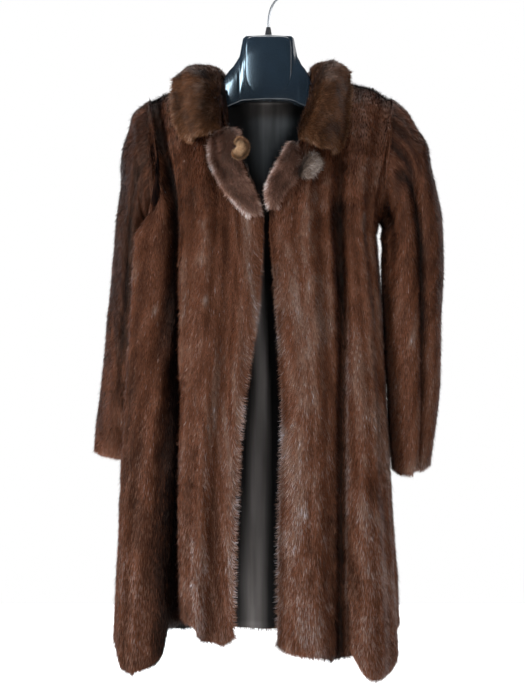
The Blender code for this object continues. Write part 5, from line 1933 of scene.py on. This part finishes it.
@dataclass
class Hanger:
    """The furrier's hanger: a moulded plate with broad arms, a raised shield, a plug and a wire hook."""

    plastic: Material
    plug: Material
    wire: Material
    steps: int = 64
    edge_round: float = 3.0
    shield_top: float = -102.0
    shield_side: float = 39.0
    shield_bottom: float = -201.0
    shield_rear: float = 8.6
    shield_depth: float = 3.0
    shield_points: int = 72
    corners: tuple[float, ...] = (-49.0, -43.0, -38.0, 38.0, 43.0, 49.0)
    foot_half: float = 84.0
    foot_fade: float = 34.0
    foot_top: float = 150.0
    foot_height: float = 55.0
    foot_gain: float = 0.45

    def build(self) -> None:
        """Builds the plate with its arms and the shield, and dresses the plug and the wire."""
        plate = self.plate()
        dress(plate, self.plastic)
        place_piece(plate, "hanger_plastic", "hanger_body")
        shield = self.shield()
        dress(shield, self.plastic)
        place_piece(shield, "hanger_plastic", "hanger_shield")
        dress(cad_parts["hanger_plug"], self.plug)
        dress(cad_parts["hanger_hook"], self.wire)

    def plate(self) -> Object:
        """Extrudes the arm's end face along the hanger, section by section."""
        deselect_all()
        places = np.linspace(HANGER[0].x, HANGER[-1].x, self.steps + 1)
        places = np.union1d(places, self.corners)
        top, bottom, half = (
            np.interp(places, [row.x for row in HANGER], [getattr(row, key) for row in HANGER])
            for key in ("top", "bottom", "half_depth")
        )
        for line in (bottom, half):
            line[2:-2] = np.convolve(line, np.ones(5) / 5, "valid")
        first = 0.5 * (places[0] + places[1]) * MM
        middle = (top + bottom) / 2
        bpy.ops.mesh.primitive_cube_add(size=1, location=(first, 0, middle[0] * MM))
        thing = bpy.context.object
        thing.name = thing.data.name = "hanger_plate"
        thing.scale = ((places[1] - places[0]) * MM, 2 * half[0] * MM, (top[0] - bottom[0]) * MM)
        bpy.ops.object.transform_apply(location=True, rotation=False, scale=True)
        bpy.ops.object.mode_set(mode="EDIT")
        bpy.ops.mesh.select_mode(type="FACE")
        for number in range(1, len(places) - 1):
            before = number if number > 1 else 0
            work = bmesh.from_edit_mesh(thing.data)
            for face in work.faces:
                ahead = face.calc_center_median().x > (places[number] - 0.01) * MM
                face.select_set(bool(face.normal.x > 0.9 and ahead))
            bmesh.update_edit_mesh(thing.data)
            rise = middle[number + 1] - middle[before]
            step = ((places[number + 1] - places[number]) * MM, 0.0, rise * MM)
            bpy.ops.mesh.extrude_region_move(TRANSFORM_OT_translate={"value": step})
            tall = (top[number + 1] - bottom[number + 1]) / (top[before] - bottom[before])
            deep = half[number + 1] / half[before]
            centre = (places[number + 1] * MM, 0.0, middle[number + 1] * MM)
            bpy.ops.transform.resize(value=(1.0, deep, tall), center_override=centre)
        bpy.ops.mesh.select_all(action="SELECT")
        bpy.ops.mesh.normals_make_consistent(inside=False)
        bpy.ops.object.mode_set(mode="OBJECT")
        apply_bevel(thing, self.edge_round, 4, 50)
        bpy.ops.object.shade_smooth()
        self.thicken_foot(thing)
        return thing

    def thicken_foot(self, thing: Object) -> None:
        """Lets the plate's front and back stand out towards its foot, as the mould's draft does."""
        for vertex in thing.data.vertices:
            x, _, z = (value / MM for value in vertex.co)
            if abs(x) < self.foot_half:
                low = float(ease((-z - self.foot_top) / self.foot_height))
                near = float(ease((self.foot_half - abs(x)) / self.foot_fade))
                vertex.co.y *= 1 + self.foot_gain * low * near
        thing.data.update()

    def shield(self) -> Object:
        """Draws a ring out into the shield's outline, extrudes it forward and rounds its edge."""
        deselect_all()
        outline = self.shield_outline()
        bpy.ops.mesh.primitive_circle_add(vertices=len(outline), fill_type="NGON", location=(0, 0, 0))
        thing = bpy.context.object
        thing.name = thing.data.name = "hanger_raised_shield"
        turned = sorted(thing.data.vertices, key=lambda vertex: math.atan2(vertex.co.y, vertex.co.x))
        for vertex, (x, z) in zip(turned, outline):
            vertex.co = (x * MM, -self.shield_rear * MM, z * MM)
        bpy.ops.object.mode_set(mode="EDIT")
        bpy.ops.mesh.select_all(action="SELECT")
        bpy.ops.mesh.extrude_region_move(TRANSFORM_OT_translate={"value": (0, -self.shield_depth * MM, 0)})
        bpy.ops.mesh.select_all(action="SELECT")
        bpy.ops.mesh.normals_make_consistent(inside=False)
        bpy.ops.object.mode_set(mode="OBJECT")
        apply_bevel(thing, self.shield_depth * 0.8, 5, 40)
        bpy.ops.object.shade_smooth_by_angle(angle=math.radians(35))
        return thing

    def shield_outline(self) -> list[tuple[float, float]]:
        """The outline, by its angle round the middle from -180 degrees: straight sides over a round foot."""
        middle, tall = (self.shield_top + self.shield_bottom) / 2, (self.shield_top - self.shield_bottom) / 2
        points = []
        for step in range(self.shield_points):
            angle = math.radians(-180 + (step + 0.5) * 360 / self.shield_points)
            across, up = math.cos(angle), math.sin(angle)
            corner = 8.0 if up > 0 else 2.6
            reach = (abs(across / self.shield_side) ** corner + abs(up / tall) ** corner) ** (-1 / corner)
            points.append((reach * across, middle + reach * up))
        return points


# ---------------------------------------------------------------- stage


@dataclass
class Stage:
    """The pale floor, the soft lights and the camera. Its numbers are in metres."""

    floor_level: float = -1.32
    floor_near: float = -1.9
    floor_half: float = 1.8
    surround_near: float = -4.0
    surround_half: float = 5.0
    surround_drop: float = 0.004
    wall_depth: float = 1.6
    wall_top: float = 3.0
    sweep_radius: float = 0.6
    sweep_steps: int = 8
    paleness: Triple = (0.92, 0.92, 0.92)
    roughness: float = 0.9
    sky_colour: Triple = (0.93, 0.96, 1.0)
    sky_strength: float = 0.06
    eye: Triple = (-0.010, -1.7, -0.632)
    sensor: float = 24.0
    lens: float = 24.0 * 1000 / 700
    far: float = 30.0

    def build(self) -> None:
        """Builds all of it."""
        self.floor()
        self.lights()
        camera = bpy.data.objects.new("camera", bpy.data.cameras.new("camera"))
        bpy.context.scene.collection.objects.link(camera)
        camera.location = self.eye
        camera.rotation_euler = (math.radians(90), 0, 0)
        camera.data.sensor_fit = "VERTICAL"
        camera.data.sensor_height = self.sensor
        camera.data.lens = self.lens
        camera.data.clip_end = self.far
        bpy.context.scene.camera = camera
        bpy.context.scene.view_settings.view_transform = "Standard"

    def floor(self) -> None:
        """A pale floor, and round and behind it a pale sheet that throws light and does not show."""
        radius, level = self.sweep_radius, self.floor_level
        start = self.wall_depth - radius
        sweep = [math.pi / 2 * step / self.sweep_steps for step in range(self.sweep_steps + 1)]
        wall = [(start + radius * math.sin(turn), level + radius * (1 - math.cos(turn))) for turn in sweep]
        flat = [(self.floor_near, level), (start, level)]
        low = (self.surround_near, level - self.surround_drop)
        around = [low, *wall, (start + radius, self.wall_top)]
        for name, half, profile in (
            ("pale_floor", self.floor_half, flat), ("pale_surround", self.surround_half, around)
        ):
            points = [(x, y, z) for y, z in profile for x in (-half, half)]
            faces = [(2 * n, 2 * n + 1, 2 * n + 3, 2 * n + 2) for n in range(len(profile) - 1)]
            sheet = link_mesh(name, np.array(points), faces, 1.0)
            sheet.visible_camera = name == "pale_floor"
            dress(sheet, Paint(name).finish(Base_Color=(*self.paleness, 1.0), Roughness=self.roughness))

    def lights(self) -> None:
        """The lamps, and a sky that is dim where it lights and plain white where it is seen."""
        world = bpy.data.worlds.new("studio")
        bpy.context.scene.world = world
        world.use_nodes = True
        nodes = NodeMaker(world.node_tree)
        sky = world.node_tree.nodes["Background"]
        nodes.feed(sky, Color=(*self.sky_colour, 1.0), Strength=self.sky_strength)
        paper = nodes.add("Background", Color=(1.0, 1.0, 1.0, 1.0), Strength=1.0)
        mix = nodes.add("MixShader", Fac=nodes.add("LightPath").outputs["Is Camera Ray"])
        for socket, source in zip(mix.inputs[1:], (sky, paper)):
            nodes.put(socket, source.outputs["Background"])
        nodes.feed(world.node_tree.nodes["World Output"], Surface=mix.outputs["Shader"])
        for lamp in LAMPS:
            self.hang(lamp)

    def hang(self, lamp: Lamp) -> None:
        """Hangs one light."""
        light = bpy.data.lights.new(lamp.name, "AREA")
        light.shape, light.size = "SQUARE", lamp.size
        light.energy, light.color = lamp.power, lamp.colour
        thing = bpy.data.objects.new(lamp.name, light)
        bpy.context.scene.collection.objects.link(thing)
        thing.location = lamp.place
        thing.rotation_euler = (Vector(lamp.aim) - Vector(lamp.place)).to_track_quat("-Z", "Y").to_euler()


def body_tree(form: BodyForm) -> BVHTree:
    """The body's outer surface as a tree, in millimetres."""
    rows, columns = form.points.shape[:2]
    row, column = cells(rows - 1, columns - 1)
    a = row * columns + column
    faces = np.stack([a, a + 1, a + columns + 1, a + columns], 1)
    return BVHTree.FromPolygons(form.points.reshape(-1, 3).tolist(), faces.tolist())


def main() -> None:
    """Builds the coat, its hanger and the stage, in that order."""
    logging.basicConfig(level=logging.INFO, format="%(name)s: %(message)s")
    Stage().build()
    body_fur = PileFinish("let_out_fur", BROWN_STOPS).material()
    collar_fur = PileFinish("collar_fur", COLLAR_STOPS, roughness=0.5, gloss=0.12).material()
    facing_fur = PileFinish("facing_fur", FACING_STOPS, root_shade=0.4, gloss=0.2).material()
    button_fur = PileFinish("button_curls", BUTTON_STOPS, root_shade=0.75).material()
    tab_fur = PileFinish("loop_tab_fur", TAB_STOPS, root_shade=0.35).material()
    underfur = UnderfurFinish("underfur", BROWN_STOPS).material()
    collar_wool = UnderfurFinish("collar_wool", COLLAR_STOPS).material()
    facing_wool = UnderfurFinish("facing_wool", FACING_STOPS).material()
    button_wool = UnderfurFinish("button_wool", BUTTON_STOPS).material()
    tab_wool = UnderfurFinish("loop_tab_wool", TAB_STOPS).material()
    # The skins' inner walls take the satin painted dark as shade; the back's lining takes paler taupe.
    satin = SatinFinish().material()
    inner_satin = SatinFinish("lining_satin", (0.16, 0.142, 0.132), (0.34, 0.305, 0.288), True).material()
    form = BodyForm()
    tree = body_tree(form)
    Body(form, body_fur, underfur, satin, inner_satin).build()
    # The sleeves' tones, lower than the body's and lowest on the left, are painted shade.
    Sleeve(Side.LEFT, form, body_fur, underfur, satin, tone=0.21).build()
    Sleeve(Side.RIGHT, form, body_fur, underfur, satin, tone=0.34).build()
    Collar(tree, collar_fur, collar_wool).build()
    Facing(Side.LEFT, tree, facing_fur, facing_wool).build()
    Facing(Side.RIGHT, tree, facing_fur, facing_wool, hairs=9_000).build()
    Button(button_fur, button_wool).build()
    LoopTab(tab_fur, tab_wool).build()
    Hanger(
        PlasticFinish("hanger_plastic", (0.010, 0.018, 0.027), 0.14, 0.8).material(),
        PlasticFinish("plug_plastic", (0.010, 0.010, 0.012), 0.35).material(),
        WireFinish().material(),
    ).build()


if __name__ == "__main__":
    main()
